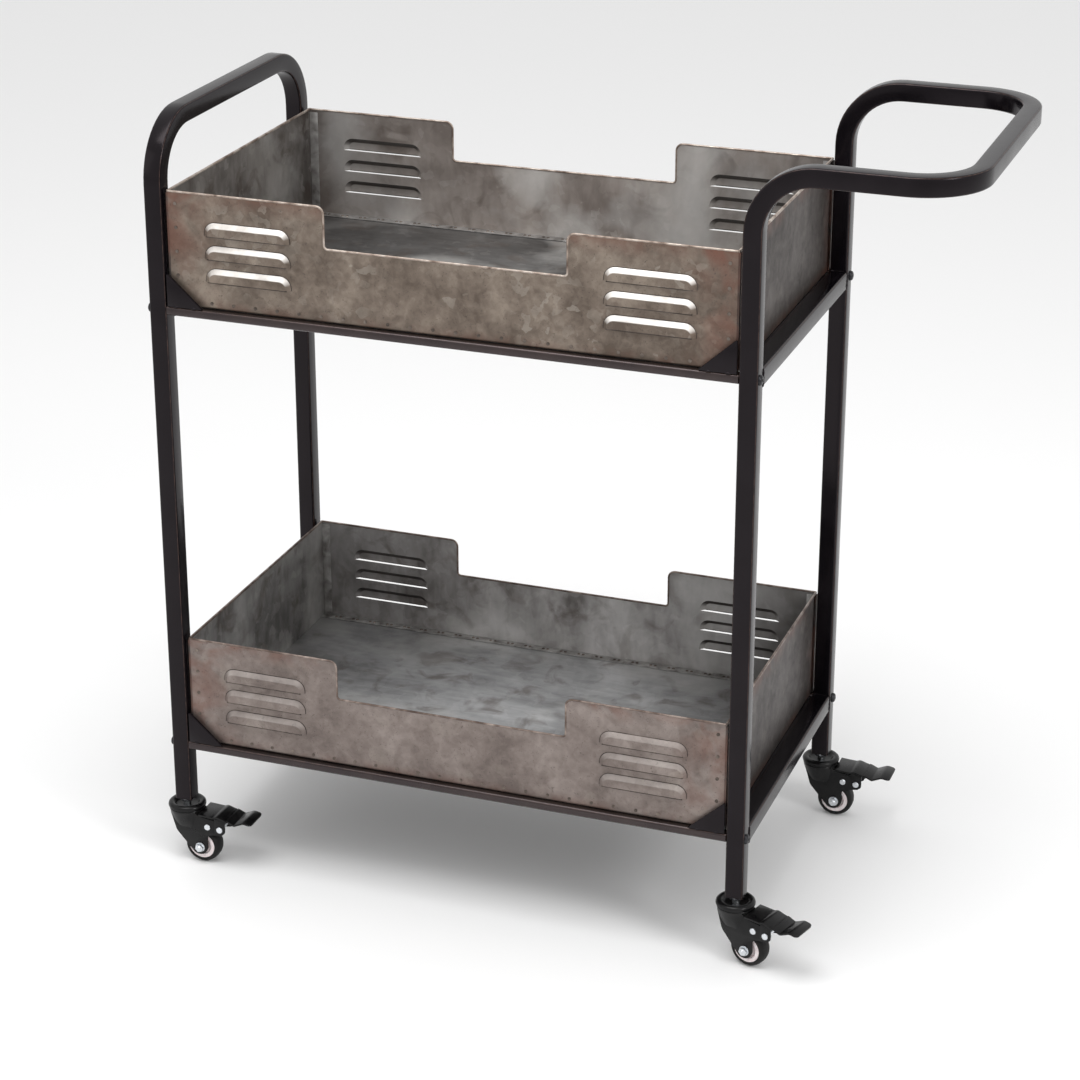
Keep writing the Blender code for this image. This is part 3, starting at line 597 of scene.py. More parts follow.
def aged_inside(name, level, metal, dark, pale, streak, fleck, end_darkening):
    """Inner face of a tray: grey zinc with cloudy bright and dull patches, soft streaks and pale flakes, darker
    towards the tray's ends, with painted shade on faces that lean downwards.
    """
    look = Finish(name, metal)
    cloud = look.noise(9, 4, 0.8)
    streak_place = look.node("ShaderNodeMapping", {"Vector": look.place, "Scale": streak})
    streaks = look.noise(40, 3, 0.4, streak_place.outputs[0])
    crystal = spangle(look, 75)
    shade = add_weighted(look, (cloud, 0.76), (crystal, 0.05), (streaks, 0.19))
    colour = look.ramp(shade, [(0.34, *dark), (0.66, *pale)])
    flake = look.ramp(spangle(look, 110), [(0.80, 0), (0.97, fleck)])
    colour = look.mix(flake, colour, (0.62, 0.60, 0.57, 1))
    blotch = look.ramp(look.noise(24, 4, 1.0), [(0.54, 0), (0.68, 0.55)])
    colour = look.mix(blotch, colour, (0.10, 0.075, 0.060, 1))
    polish = look.ramp(look.noise(6.5, 5, 0.3), [(0.50, 0), (0.66, 0.55)])
    colour = look.mix(polish, colour, (0.74, 0.73, 0.71, 1))
    # Darker towards the tray's ends: the colour is mixed towards near-black as the place nears either end.
    along = look.sum(from_middle(look, level)[0], 0, "ABSOLUTE")
    towards_ends = look.ramp(along, [(0.30, 0), (1.0, end_darkening)])
    colour = look.mix(towards_ends, colour, (0.055, 0.050, 0.048, 1))
    # Painted shade: faces that lean downwards are mixed towards near-black.
    colour = look.mix(leaning(look, -0.15, -0.5), colour, (0.035, 0.029, 0.026, 1))
    roughness = look.ramp(shade, [(0.36, 0.52), (0.64, 0.42)])
    dents = look.sum(look.noise(10, 2), 5.0, "MULTIPLY")
    return look.join(colour, roughness, look.sum(dents, streaks), 0.00009)


def worn_hem(name, dark, brown, pale):
    """Handled edge: zinc rubbed pale where it is touched, with brown left in its low spots."""
    return clouded(
        name, 0.7, (70, 4, 0.5), [(0.30, *dark), (0.48, *brown), (0.70, *pale)],
        [(0.3, 0.52), (0.7, 0.32)], (500, 3), 0.00006)


OUTSIDE = {
    "upper": aged_outside(
        "sides", "upper", (0.105, 0.080, 0.062), (0.165, 0.130, 0.104), (0.25, 0.205, 0.165), 85, 0.40, 0.95),
    "lower": aged_outside(
        "sides", "lower", (0.142, 0.114, 0.102), (0.200, 0.164, 0.148), (0.262, 0.222, 0.202), 60, 0.2, 0.14),
}
END_OUTSIDE = {
    "upper": aged_outside(
        "ends", "upper", (0.036, 0.029, 0.026), (0.056, 0.046, 0.041), (0.080, 0.067, 0.060), 85, 0.08, 0.0),
    "lower": aged_outside(
        "ends", "lower", (0.034, 0.028, 0.026), (0.052, 0.044, 0.041), (0.076, 0.065, 0.060), 60, 0.1, 0.0),
}
UPRIGHT = (2.5, 2.5, 0.8)
LENGTHWISE = (0.7, 3.5, 3.5)
WALL = {
    "upper": aged_inside(
        "inner_sides_upper", "upper", 0.35, (0.185, 0.156, 0.139), (0.44, 0.392, 0.358), UPRIGHT, 0.14, 0.55),
    "lower": aged_inside(
        "inner_sides_lower", "lower", 0.50, (0.155, 0.142, 0.134), (0.64, 0.62, 0.61), UPRIGHT, 0.12, 0.60),
}
END_WALL = {
    "upper": aged_inside(
        "inner_ends_upper", "upper", 0.85, (0.095, 0.082, 0.075), (0.36, 0.34, 0.32), UPRIGHT, 0.2, 0.0),
    "lower": aged_inside(
        "inner_ends_lower", "lower", 0.80, (0.105, 0.098, 0.093), (0.44, 0.43, 0.42), UPRIGHT, 0.2, 0.0),
}
DECK = {
    "upper": aged_inside(
        "floor_zinc_upper", "upper", 0.70, (0.062, 0.059, 0.057), (0.19, 0.187, 0.184), LENGTHWISE, 0.1, 0.55),
    "lower": aged_inside(
        "floor_zinc_lower", "lower", 0.60, (0.205, 0.205, 0.208), (0.52, 0.522, 0.528), LENGTHWISE, 0.1, 0.55),
}
RIM = {
    "upper": worn_hem("worn_rim_upper", (0.13, 0.09, 0.07), (0.36, 0.29, 0.245), (0.58, 0.52, 0.46)),
    "lower": worn_hem("worn_rim_lower", (0.08, 0.056, 0.047), (0.17, 0.128, 0.108), (0.35, 0.29, 0.255)),
}
SEAM_ZINC = worn_hem("seam_zinc", (0.17, 0.16, 0.152), (0.33, 0.32, 0.31), (0.52, 0.51, 0.50))
SPOT_ZINC = worn_hem("spot_welds", (0.055, 0.044, 0.037), (0.115, 0.092, 0.078), (0.24, 0.20, 0.17))
# Near-black zinc for the painted shadow under the louvre slots and the painted shade in their creases
PAINTED_SHADE_LINES = worn_hem("painted_shade_lines", (0.022, 0.018, 0.016), (0.050, 0.040, 0.035), (0.11, 0.090, 0.078))

tray_low, tray_high = tray_range("upper")
tray_mid = (tray_low + tray_high) / 2
panel_y = tray_low.y + SHEET / 2
panel_length = tray_high.x - tray_low.x - 2 * SHEET
notch_z = tray_high.z - NOTCH_DEPTH
louvre_foot_y = tray_low.y - 0.1 * MM

# The blank: a sheet split at the notch, its middle cut down and its corners rounded
panel = start_piece(
    "side_panel", "plane", (panel_length, tray_high.z - tray_low.z, 1), size=1,
    location=(tray_mid.x, tray_low.y, tray_mid.z), rotation=(QUARTER, 0, 0))
for cut_place, cut_side in (
        ((tray_mid.x - NOTCH_HALF, 0, 0), (1, 0, 0)),
        ((tray_mid.x + NOTCH_HALF, 0, 0), (1, 0, 0)),
        ((0, 0, notch_z), (0, 0, 1))):
    take_all()
    bpy.ops.mesh.bisect(plane_co=cut_place, plane_no=cut_side)
pick("FACE", lambda face: abs(middle(face).x - tray_mid.x) < NOTCH_HALF and middle(face).z > notch_z)
bpy.ops.mesh.delete(type="FACE")
take_all()
bpy.ops.mesh.dissolve_limited(angle_limit=0.01)
for height, radius in ((tray_high.z, NOTCH_TOP_RADIUS), (notch_z, NOTCH_FOOT_RADIUS)):
    pick("VERT", lambda vert: abs(abs(vert.co.x - tray_mid.x) - NOTCH_HALF) < MM
         and abs(vert.co.z - height) < MM)
    bevel(radius, 6, "VERTICES")

# The rolled rim follows the blank's upper outline
pick("EDGE", lambda edge: middle(edge).z > tray_low.z + MM
     and abs(middle(edge).x - tray_mid.x) < panel_length / 2 - MM)
bpy.ops.mesh.duplicate()
bpy.ops.mesh.separate(type="SELECTED")
mode("OBJECT")
first_rim = [piece for piece in bpy.context.selected_objects if piece is not panel][0]
activate(first_rim)
first_rim.location = (0, SHEET / 2, HEM_LIFT - HEM / 2)
settle(first_rim, "side_rim")
outline_to_bead(HEM, 0.0)

# The lower flange, its fold and the sheet's thickness
activate(panel)
mode("EDIT")
pick("EDGE", lambda edge: all(vert.co.z < tray_low.z + 0.1 * MM for vert in edge.verts))
extrude((0, FLANGE, 0))
pick("EDGE", lambda edge: all(vert.co.z < tray_low.z + 0.1 * MM and vert.co.y < panel_y for vert in edge.verts))
bevel(FOLD_RADIUS, 5)
face_out()
pick("FACE", lambda face: abs(face.normal.y) > 0.9)
faces_out = bmesh.from_edit_mesh(panel.data).faces
if sum(face.normal.y for face in faces_out if face.select) > 0:
    take_all()
    bpy.ops.mesh.flip_normals()
mode("OBJECT")
modify(panel, "SOLIDIFY", thickness=SHEET, offset=-1, use_even_offset=True)


def strip(name, low, high, edge=0.3 * MM):
    """Flat strip of sheet with its edges dressed."""
    low, high = Vector(low), Vector(high)
    plate = start_piece(name, "cube", high - low, size=1, location=(low + high) / 2)
    take_all()
    bevel(edge, 2)
    close_up(30)
    return plate


def pressing_dies(name, inset, reach_in):
    """Six half pillows, flat side down: the outer skins of the louvres, or their hollows when inset."""
    dies = []
    for x in (-LOUVRE_X, LOUVRE_X):
        for slot in SLOT_HEIGHTS:
            slot_z = tray_low.z + slot
            front = louvre_foot_y + inset
            size = Vector((LOUVRE_LENGTH - 2 * inset, reach_in - front, 2 * (LOUVRE_HEIGHT - inset)))
            centre = (tray_mid.x + x, front + size.y / 2, slot_z)
            die = start_piece(name, "cube", size, size=1, location=centre)
            pick("EDGE", lambda edge: abs((edge.verts[0].co - edge.verts[1].co).normalized().y) > 0.9)
            bevel(LOUVRE_CORNER - inset, 7)
            pick("FACE", lambda face: face.normal.y < -0.9)
            bpy.ops.mesh.inset(thickness=SHOULDER, depth=LOUVRE_DEPTH)
            bpy.ops.mesh.region_to_loop()
            bevel(0.8 * MM, 3)
            take_all()
            bpy.ops.mesh.bisect(
                plane_co=(0, 0, slot_z - (0.3 * MM if inset else 0)), plane_no=(0, 0, 1),
                clear_inner=True, use_fill=True)
            face_out()
            mode("OBJECT")
            dies.append(die)
    return join_pieces(dies, name)


def creases(dies):
    """Fine dark bead in the crease where each louvre's shoulder meets the flat sheet: painted shade."""
    copy_piece(dies, "crease_shade_beads")
    slots = [tray_low.z + slot for slot in SLOT_HEIGHTS]
    mode("EDIT")
    pick("EDGE", lambda edge: all(abs(vert.co.y - louvre_foot_y) < 0.02 * MM for vert in edge.verts)
         and min(abs(middle(edge).z - slot) for slot in slots) > 0.05 * MM)
    bpy.ops.mesh.select_all(action="INVERT")
    bpy.ops.mesh.delete(type="EDGE")
    mode("OBJECT")
    outline_to_bead(0.8 * MM, 0.0)
    return bpy.context.object


for operation, inset, reach_in in (
        ("UNION", 0, tray_low.y + 0.5 * MM), ("DIFFERENCE", PRESSED_SHEET, tray_low.y + 3 * MM)):
    dies = pressing_dies("louvre_dies", inset, reach_in)
    if operation == "UNION":
        crease_shade_beads = creases(dies)
    modify(panel, "BOOLEAN", object=dies, operation=operation, solver="EXACT")
    bpy.data.objects.remove(dies)
smooth(32)

# Spot welds: shallow dimpled buttons along the fold and up the two ends
SPOT = 1.9 * MM
SPOT_STEP = 25 * MM
END_STEP = 26 * MM
END_GAP = 9 * MM


def repeated(row, step, count):
    """Repeats a piece along a step."""
    modify(
        row, "ARRAY", use_relative_offset=False, use_constant_offset=True,
        constant_offset_displace=step, count=count)
    smooth(50)
    return row


def spot_row(name, start, step, count):
    """A row of spot welds on the outer face: one is shaped, then repeated."""
    row = start_piece(
        name, "cylinder", vertices=12, radius=SPOT, depth=1.0 * MM, location=start, rotation=(QUARTER, 0, 0))
    pick("FACE", lambda face: face.normal.y < -0.9)
    bpy.ops.mesh.inset(thickness=0.7 * MM, depth=0.12 * MM)
    bpy.ops.mesh.inset(thickness=0.7 * MM, depth=-0.35 * MM)
    mode("OBJECT")
    return repeated(row, step, count)


spots = join_pieces([
    spot_row("fold_spots", (tray_low.x + 22 * MM, tray_low.y, tray_low.z + 6.5 * MM), (SPOT_STEP, 0, 0), 24),
    spot_row("left_spots", (tray_low.x + END_GAP, tray_low.y, tray_low.z + 34 * MM), (0, 0, END_STEP), 4),
    spot_row("right_spots", (tray_high.x - END_GAP, tray_low.y, tray_low.z + 34 * MM), (0, 0, END_STEP), 4),
], "side_spots")

# Slot shadows: a thin dark strip along the foot of each louvre, painted shadow under its open slot
slot_shadow_strips = []
for x in (-LOUVRE_X, LOUVRE_X):
    for slot in SLOT_HEIGHTS:
        slot_shadow_line = Vector((tray_mid.x + x, tray_low.y - LOUVRE_DEPTH, tray_low.z + slot))
        reach = Vector((LOUVRE_LENGTH / 2 - 0.7 * SHOULDER, 0.2 * MM, 0.2 * MM))
        slot_shadow_strips.append(strip("slot_shadow_line", slot_shadow_line - reach, slot_shadow_line + reach + Vector((0, 0.6 * MM, 0.5 * MM)), 0.1 * MM))
slot_shadow_strips = join_pieces(slot_shadow_strips, "side_slot_shadows")


def line_inside(sheet, finish, test):
    """Gives the active sheet's faces that pass a test a second finish."""
    sheet.data.materials.append(finish)
    mode("EDIT")
    pick("FACE", test)
    sheet.active_material_index = 1
    bpy.ops.object.material_slot_assign()
    mode("OBJECT")


for level in LEVELS:
    slot = f"galvanised_{level}"
    rise = tray_range(level)[0].z - tray_low.z
    for side, turn in (("front", 0.0), ("rear", math.pi)):
        node = f"tray_{side}_{level}"
        shift = (2 * tray_mid.x, 2 * tray_mid.y, rise) if turn else (0, 0, rise)
        out_y = 1 if turn else -1
        sheet = copy_piece(panel, f"{node}_panel", shift, turn)
        dress(sheet, OUTSIDE[level], replaced=[node])
        inner_y = tray_mid.y + out_y * (tray_mid.y - tray_low.y - 0.6 * SHEET)
        line_inside(
            sheet, WALL[level],
            lambda face: (middle(face).y - inner_y) * out_y < 0 or face.normal.y * out_y < -0.5)
        for source, detail, finish in (
                (first_rim, "rim", RIM[level]), (spots, "spot_welds", SPOT_ZINC),
                (slot_shadow_strips, "slot_shadows", PAINTED_SHADE_LINES), (crease_shade_beads, "creases", PAINTED_SHADE_LINES)):
            dress(copy_piece(source, f"{node}_{detail}", shift, turn), finish)
for spare in (panel, first_rim, spots, slot_shadow_strips, crease_shade_beads):
    bpy.data.objects.remove(spare)


# TRAY ENDS AND FLOORS
# Plain 1 mm sheets close each tray. The ends have folded edges, and a black strip on the cross rail under each
# end fills the gap there as painted shadow. The floor has riveted seams along the side panels, and flanges
# stand in the four inner corners.

SEAM = 12 * MM
WAVE = 0.5 * MM
RIVET_PAIR = 5.5 * MM
RIVET_STEP = 22.5 * MM
GAP_SHADOW_WIDTH = 12 * MM
GAP_SHADOW_SHEET = 1.5 * MM
FOLD = 6 * MM
FOLD_PROUD = 1.4 * MM
FOLD_SINK = 0.2 * MM
CORNER_FLANGE = 10 * MM


def wavy_sheet(name, low, high, upright, cuts):
    """A sheet that fills a thin box, slightly out of flat as hand-worked sheet is."""
    size = high - low
    sheet = start_piece(
        name, "grid", (size.z if upright else size.x, size.y, 1), edit=False, size=1,
        x_subdivisions=cuts[0], y_subdivisions=cuts[1], location=(low + high) / 2,
        rotation=(0, QUARTER if upright else 0, 0))
    waves = bpy.data.textures.get("sheet_waves") or bpy.data.textures.new("sheet_waves", "CLOUDS")
    waves.noise_scale = 0.11
    modify(sheet, "DISPLACE", texture=waves, strength=WAVE)
    modify(sheet, "SOLIDIFY", thickness=SHEET * 0.8, offset=0)
    smooth(40)
    return sheet


def rivet_row(name, start, step, count):
    """Pairs of low rivet heads along a floor seam."""
    heads = []
    for offset in (0, RIVET_PAIR):
        head = start_piece(
            name, "cylinder", vertices=10, radius=1.9 * MM, depth=1 * MM,
            location=Vector(start) + Vector((offset, 0, 0)))
        pick("EDGE", lambda edge: all(vert.co.z > start[2] for vert in edge.verts))
        bevel(0.8 * MM, 2)
        mode("OBJECT")
        heads.append(head)
    return repeated(join_pieces(heads, name), step, count)


for level in LEVELS:
    slot = f"galvanised_{level}"
    low, high = tray_range(level)
    for side, inward in (("left", 1), ("right", -1)):
        node = f"tray_end_{side}_{level}"
        end_low, end_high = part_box(node)
        sheet = wavy_sheet(f"{node}_sheet", end_low, end_high, True, (12, 24))
        dress(sheet, END_OUTSIDE[level], replaced=[node])
        line_inside(sheet, END_WALL[level], lambda face: face.normal.x * inward > 0.5)
        # Painted shadow: a black strip laid on the cross rail under the end's foot, so the gap there reads
        # dark.
        rail_low, rail_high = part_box(f"cross_rail_{side}_{level}")
        rail_x = rail_low.x if inward < 0 else rail_high.x
        gap_shadow_x = sorted((rail_x, rail_x + inward * GAP_SHADOW_WIDTH))
        gap_shadow_z = end_low.z - 0.6 * MM
        gap_shadow_strip = strip(
            f"ledge_{side}_{level}", (gap_shadow_x[0], rail_low.y, gap_shadow_z - GAP_SHADOW_SHEET),
            (gap_shadow_x[1], rail_high.y, gap_shadow_z))
        dress(gap_shadow_strip, BLACK_PAINT)
        rim_x = (end_low.x + end_high.x) / 2
        rim = strip(
            f"{node}_rim", (rim_x - HEM / 2, low.y, high.z - HEM),
            (rim_x + HEM / 2, high.y, high.z + HEM_LIFT), 0.9 * MM)
        dress(rim, RIM[level])
        out_x = end_high.x if inward < 0 else end_low.x
        fold_x = sorted((out_x + inward * FOLD_SINK, out_x - inward * FOLD_PROUD))
        folds = [strip(f"{node}_fold", (fold_x[0], y, low.z), (fold_x[1], y + FOLD, high.z - HEM), 0.5 * MM)
                 for y in (low.y, high.y - FOLD)]
        dress(join_pieces(folds, f"{node}_folds"), END_OUTSIDE[level])
        flange_x = end_high.x if inward > 0 else end_low.x - CORNER_FLANGE
        corners = [strip(
            f"{node}_corner", (flange_x, y, low.z + 3 * MM),
            (flange_x + CORNER_FLANGE, y + 0.8 * SHEET, high.z - 4 * MM))
            for y in (low.y + SHEET, high.y - 1.8 * SHEET)]
        dress(join_pieces(corners, f"{node}_corner_flanges"), SEAM_ZINC)

    node = f"tray_floor_{level}"
    floor_low, floor_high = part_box(node)
    sheet = wavy_sheet(f"{node}_sheet", floor_low, floor_high, False, (44, 28))
    dress(sheet, DECK[level], replaced=[node])
    seam_z = floor_high.z + 0.2 * MM
    seams = []
    rivets = []
    for y in (floor_low.y, floor_high.y - SEAM):
        seams.append(strip(
            f"{node}_seam", (floor_low.x, y, seam_z), (floor_high.x, y + SEAM, seam_z + 0.9 * MM)))
        rivets.append(rivet_row(
            f"{node}_rivets", (floor_low.x + 18 * MM, y + SEAM / 2, seam_z + 1.1 * MM), (RIVET_STEP, 0, 0), 27))
    dress(join_pieces(seams, f"{node}_seams"), SEAM_ZINC)
    dress(join_pieces(rivets, f"{node}_seam_rivets"), SPOT_ZINC)


# SWIVEL CASTERS
# Four 42 mm braked casters plug into the posts' feet. A pressed and enamelled steel fork hangs on a ball race,
# and holds a nylon wheel with a rubber tyre on a zinc bolt. A stepped pedal pivots on a rivet at its heel.
# One caster is made with its stem on the origin and its wheel trailing along +X, then copied to each post.

WHEEL_RADIUS = 21 * MM
TRAIL = 20 * MM
CHEEK_IN = 10.5 * MM
CHEEK_OUT = 12.1 * MM
RIVET_Z = 48 * MM
RIVETS_X = (30 * MM, 46 * MM)
PEDAL_HALF = 16 * MM
PEDAL_SHEET = 2 * MM
LUG_GAP = 0.3 * MM
LUG_SHEET = 1.6 * MM
HOOD_TOP = 65.4 * MM
HOOD_FOOT = 43.6 * MM


# Glossy black enamel over pressed steel, with faint ripples and dust
ENAMEL = clouded(
    "black_enamel", 0.0, (120, 4), [(0.4, 0.0022, 0.0021, 0.0024), (0.8, 0.0070, 0.0066, 0.0066)],
    [(0.3, 0.26), (0.75, 0.42)], (420, 2), 0.00005,
    [("Specular IOR Level", 0.14), ("Coat Weight", 0.22), ("Coat Roughness", 0.08)])

# Hard black rubber with a fine moulded grain and a little floor dust
RUBBER = clouded(
    "hard_black_rubber", 0.0, (90, 4), [(0.4, 0.0045, 0.0045, 0.0048), (0.75, 0.014, 0.013, 0.0125)],
    [(0.3, 0.45), (0.75, 0.65)], (700, 3), 0.00008, [("Specular IOR Level", 0.22)])

# Off-white moulded nylon with a faint pink tone and cloudy flow marks
NYLON = clouded(
    "pale_wheel_nylon", 0.0, (140, 3, 1.5), [(0.3, 0.66, 0.58, 0.585), (0.7, 0.84, 0.77, 0.77)],
    [(0.3, 0.34), (0.7, 0.48)], (140, 3, 1.5), 0.00004,
    [("Subsurface Weight", 0.08), ("Subsurface Radius", (0.002, 0.001, 0.001))])


def bright_zinc():
    """Bright zinc plating with hairline scratches and a slightly blue cast."""
    look = Finish("bright_zinc_plate", 1.0)
    lines_place = look.node("ShaderNodeMapping", {"Vector": look.place, "Scale": (1.0, 1.0, 9.0)})
    lines = look.noise(600, 3, place=lines_place.outputs[0])
    colour = look.ramp(lines, [(0.3, 0.55, 0.58, 0.62), (0.7, 0.86, 0.88, 0.90)])
    roughness = look.ramp(lines, [(0.3, 0.36), (0.7, 0.20)])
    return look.join(colour, roughness, lines, 0.00003)


ZINC = bright_zinc()


def draw_line(name, points, y=0.0):
    """An upright line through (x, z) points given in millimetres, left selected in edit mode."""
    line = start_piece(name, "plane", size=MM, location=(points[0][0] * MM, y, points[0][1] * MM))
    bpy.ops.mesh.select_mode(type="VERT")
    take_all()
    bpy.ops.mesh.merge(type="CENTER")
    for (x0, z0), (x1, z1) in zip(points, points[1:]):
        step = ((x1 - x0) * MM, 0, (z1 - z0) * MM)
        bpy.ops.mesh.extrude_vertices_move(TRANSFORM_OT_translate={"value": step})
    take_all()
    return line


def turned(name, section, steps, lying=False):
    """Spins a closed section of (radius, height) points about the axis, as on a lathe."""
    piece = draw_line(name, section + section[:1])
    bpy.ops.mesh.remove_doubles(threshold=MERGE_DISTANCE)
    take_all()
    bpy.ops.mesh.spin(steps=steps, angle=math.tau, center=(0, 0, 0), axis=(0, 0, 1))
    close_up(32)
    if lying:
        piece.rotation_euler.x = QUARTER
        piece.location = (TRAIL, 0, WHEEL_RADIUS)
        settle(piece, name)
    return piece


def cut_plate(name, outline, low_y, high_y, edge):
    """Upright plate cut to an outline of (x, z, corner) points, its edges dressed."""
    piece = draw_line(name, [(x, z) for x, z, _ in outline], low_y)
    bpy.ops.mesh.edge_face_add()
    for x, z, corner in outline:
        if corner:
            spot = Vector((x * MM, low_y, z * MM))
            pick("VERT", lambda vert: (vert.co - spot).length < 0.1 * MM)
            bevel(corner * MM, 5, "VERTICES")
    bpy.ops.mesh.select_mode(type="FACE")
    take_all()
    extrude((0, high_y - low_y, 0))
    pick("EDGE", lambda edge: abs(edge.verts[0].co.y - edge.verts[1].co.y) < 0.01 * MM)
    bevel(edge, 2)
    close_up()
    return piece


def hexagon(name, place, radius, height, turn):
    """Hexagon nut with its corners turned off."""
    nut = start_piece(name, "cylinder", vertices=6, radius=radius, depth=height, location=place, rotation=turn)
    take_all()
    bevel(height * 0.12, 2)
    close_up()
    return nut


def rivet_head(name, x, seat_y, out):
    """Low domed rivet head on the outside of a cheek or lug."""
    head = start_piece(
        name, "cylinder", vertices=20, radius=3.8 * MM, depth=1.8 * MM,
        location=(x, seat_y + out * 0.8 * MM, RIVET_Z), rotation=(-out * QUARTER, 0, 0))
    pick("EDGE", lambda edge: all((vert.co.y - seat_y) * out > 0.5 * MM for vert in edge.verts))
    bevel(1.3 * MM, 4)
    close_up(50)
    return head


# Stem: a plated bolt through the race, its nut and the square plug up inside the post
stem = turned("stem", [(0, 60.5), (6.2, 60.5), (7, 61.2), (7, 62.8), (4, 63), (4, 90), (3.4, 91), (0, 91)], 20)
nut = hexagon("stem_nut", (0, 0, 74.4 * MM), 7.6 * MM, 4.4 * MM, (0, 0, 0))
plug = start_piece("stem_plug", "cube", (15.6 * MM, 15.6 * MM, 17.4 * MM), size=1, location=(0, 0, 86 * MM))
take_all()
bevel(1.2 * MM, 2)
close_up()

# Race: a rolled ring with a dished middle and a groove where it meets the fork
race = turned("race", [
    (4.4, 68.0), (11.5, 68.0), (13.0, 68.8), (14.2, 70.8), (16.0, 71.9), (18.0, 72.0), (19.9, 71.3),
    (21.1, 70.0), (21.5, 68.4), (21.2, 66.9), (20.4, 66.2), (19.8, 66.1), (19.8, 65.2), (4.4, 65.2)], 40)

# Fork: a round top drawn down and narrowed into a hood over the wheel, with a cheek on each side
hood_top = start_piece(
    "hood_top", "circle", edit=False, vertices=32, radius=20.6 * MM, location=(0, 0, HOOD_TOP))
hood_foot = start_piece(
    "hood_foot", "plane", (29 * MM, 2 * CHEEK_OUT, 1), size=1, location=(3.2 * MM, 0, HOOD_FOOT))
bevel(9 * MM, 7, "VERTICES")
take_all()
bpy.ops.mesh.delete(type="ONLY_FACE")
mode("OBJECT")
hood = join_pieces([hood_top, hood_foot], "fork_hood")
mode("EDIT")
bpy.ops.mesh.select_mode(type="EDGE")
take_all()
bpy.ops.mesh.bridge_edge_loops(number_cuts=5, interpolation="PATH", smoothness=0.8)
for face_z in (HOOD_FOOT, HOOD_TOP):
    pick("EDGE", lambda edge: all(abs(vert.co.z - face_z) < 0.05 * MM for vert in edge.verts))
    bpy.ops.mesh.edge_face_add()
pick("EDGE", lambda edge: all(abs(vert.co.z - HOOD_TOP) < 0.05 * MM for vert in edge.verts))
bevel(0.9 * MM, 3)
close_up()

cheek_outline = [
    (-14.0, 64.5, 0), (-15.6, 60.0, 0), (-9.2, 38.0, 3), (7.6, 19.0, 5), (13.6, 11.6, 3.5), (24.5, 11.2, 5),
    (30.0, 21.0, 3), (29.0, 37.0, 5), (49.5, 40.5, 2.5), (52.5, 50.5, 2.5), (45.0, 56.2, 1.5), (18.0, 60.2, 2),
    (14.0, 64.5, 0)]
cheeks = [
    cut_plate("front_cheek", cheek_outline, -CHEEK_OUT, -CHEEK_IN, 0.45 * MM),
    cut_plate("rear_cheek", cheek_outline, CHEEK_IN, CHEEK_OUT, 0.45 * MM)]
fork = join_pieces([hood, race, *cheeks], "fork")

# Rivets: one holds the cheeks together, the other carries the pedal's lugs
lug_in = CHEEK_OUT + LUG_GAP
lug_out = lug_in + LUG_SHEET
rivets = []
for x, seat in ((RIVETS_X[0], CHEEK_OUT), (RIVETS_X[1], lug_out)):
    rivets += [rivet_head("front_rivet", x, -seat, -1), rivet_head("rear_rivet", x, seat, 1)]
    pin = start_piece(
        "rivet_pin", "cylinder", vertices=16, radius=2.2 * MM, depth=2 * seat,
        location=(x, 0, RIVET_Z), rotation=(QUARTER, 0, 0))
    take_all()
    bpy.ops.mesh.subdivide(number_cuts=1)
    close_up()
    rivets.append(pin)
rivets = join_pieces(rivets, "fork_rivets")


def both_ways(half):
    """A section with its mirror image below it."""
    return half + [(radius, -height) for radius, height in reversed(half)]


# Wheel: a dished nylon hub inside a round-shouldered tyre with a moulding line
tyre = turned("tyre", both_ways([
    (15.6, 8.2), (16.6, 8.7), (18.0, 8.6), (19.3, 7.7), (20.3, 5.8), (20.85, 3.4), (20.9, 0.35), (21.0, 0.2)]),
    48, lying=True)
hub = turned("hub", both_ways([
    (3.4, 9.9), (5.6, 9.9), (6.2, 9.3), (6.6, 5.4), (7.2, 4.8), (9.6, 4.8), (10.3, 5.4), (10.8, 8.0),
    (11.5, 8.6), (14.8, 8.6), (15.5, 8.0)]), 40, lying=True)

# Axle: a round-headed bolt behind and a flanged nut with the bolt's end in front
bolt = turned("axle_bolt", [
    (0, 17.8), (2.4, 17.8), (2.9, 17.2), (2.9, -12.4), (5.4, -12.4), (5.4, -13.2), (4.4, -14.4), (2.2, -15.0),
    (0, -15.1)], 20, lying=True)
washer = turned(
    "axle_washer", [(3.0, 12.4), (5.6, 12.4), (5.8, 12.7), (5.6, 13.3), (3.0, 13.4)], 20, lying=True)
axle_nut = hexagon(
    "axle_nut", (TRAIL, -(CHEEK_OUT + 2.9 * MM), WHEEL_RADIUS), 4.9 * MM, 3.2 * MM, (QUARTER, 0.3, 0))

# Pedal: a strip bent in steps from under the race to its raised tip, with a lug down each side
tread = [(21, 14.5), (40, 13.5), (43.5, 15.2), (53, 12.2), (56, 12.6), (65, 8.6), (76.5, 13.8), (86, 12.2)]
pedal = start_piece("pedal", "plane", size=1, location=(0, 0, 0))
for is_far, (x, z) in ((False, tread[0]), (True, tread[1])):
    pick("EDGE", lambda edge: abs(middle(edge).x - (0.5 if is_far else -0.5)) < 0.01)
    bpy.ops.transform.resize(value=(0, 2 * PEDAL_HALF, 0), center_override=(x * MM, 0, RIVET_Z + z * MM))
for (x0, z0), (x1, z1) in zip(tread[1:], tread[2:]):
    pick("EDGE", lambda edge: all(abs(vert.co.x - x0 * MM) < 0.05 * MM for vert in edge.verts))
    bpy.ops.mesh.extrude_edges_move(TRANSFORM_OT_translate={"value": ((x1 - x0) * MM, 0, (z1 - z0) * MM)})
pick("VERT", lambda vert: vert.co.x > (tread[-1][0] - 1) * MM)
bevel(4.5 * MM, 5, "VERTICES")
pick("EDGE", lambda edge: len(edge.link_faces) == 2)
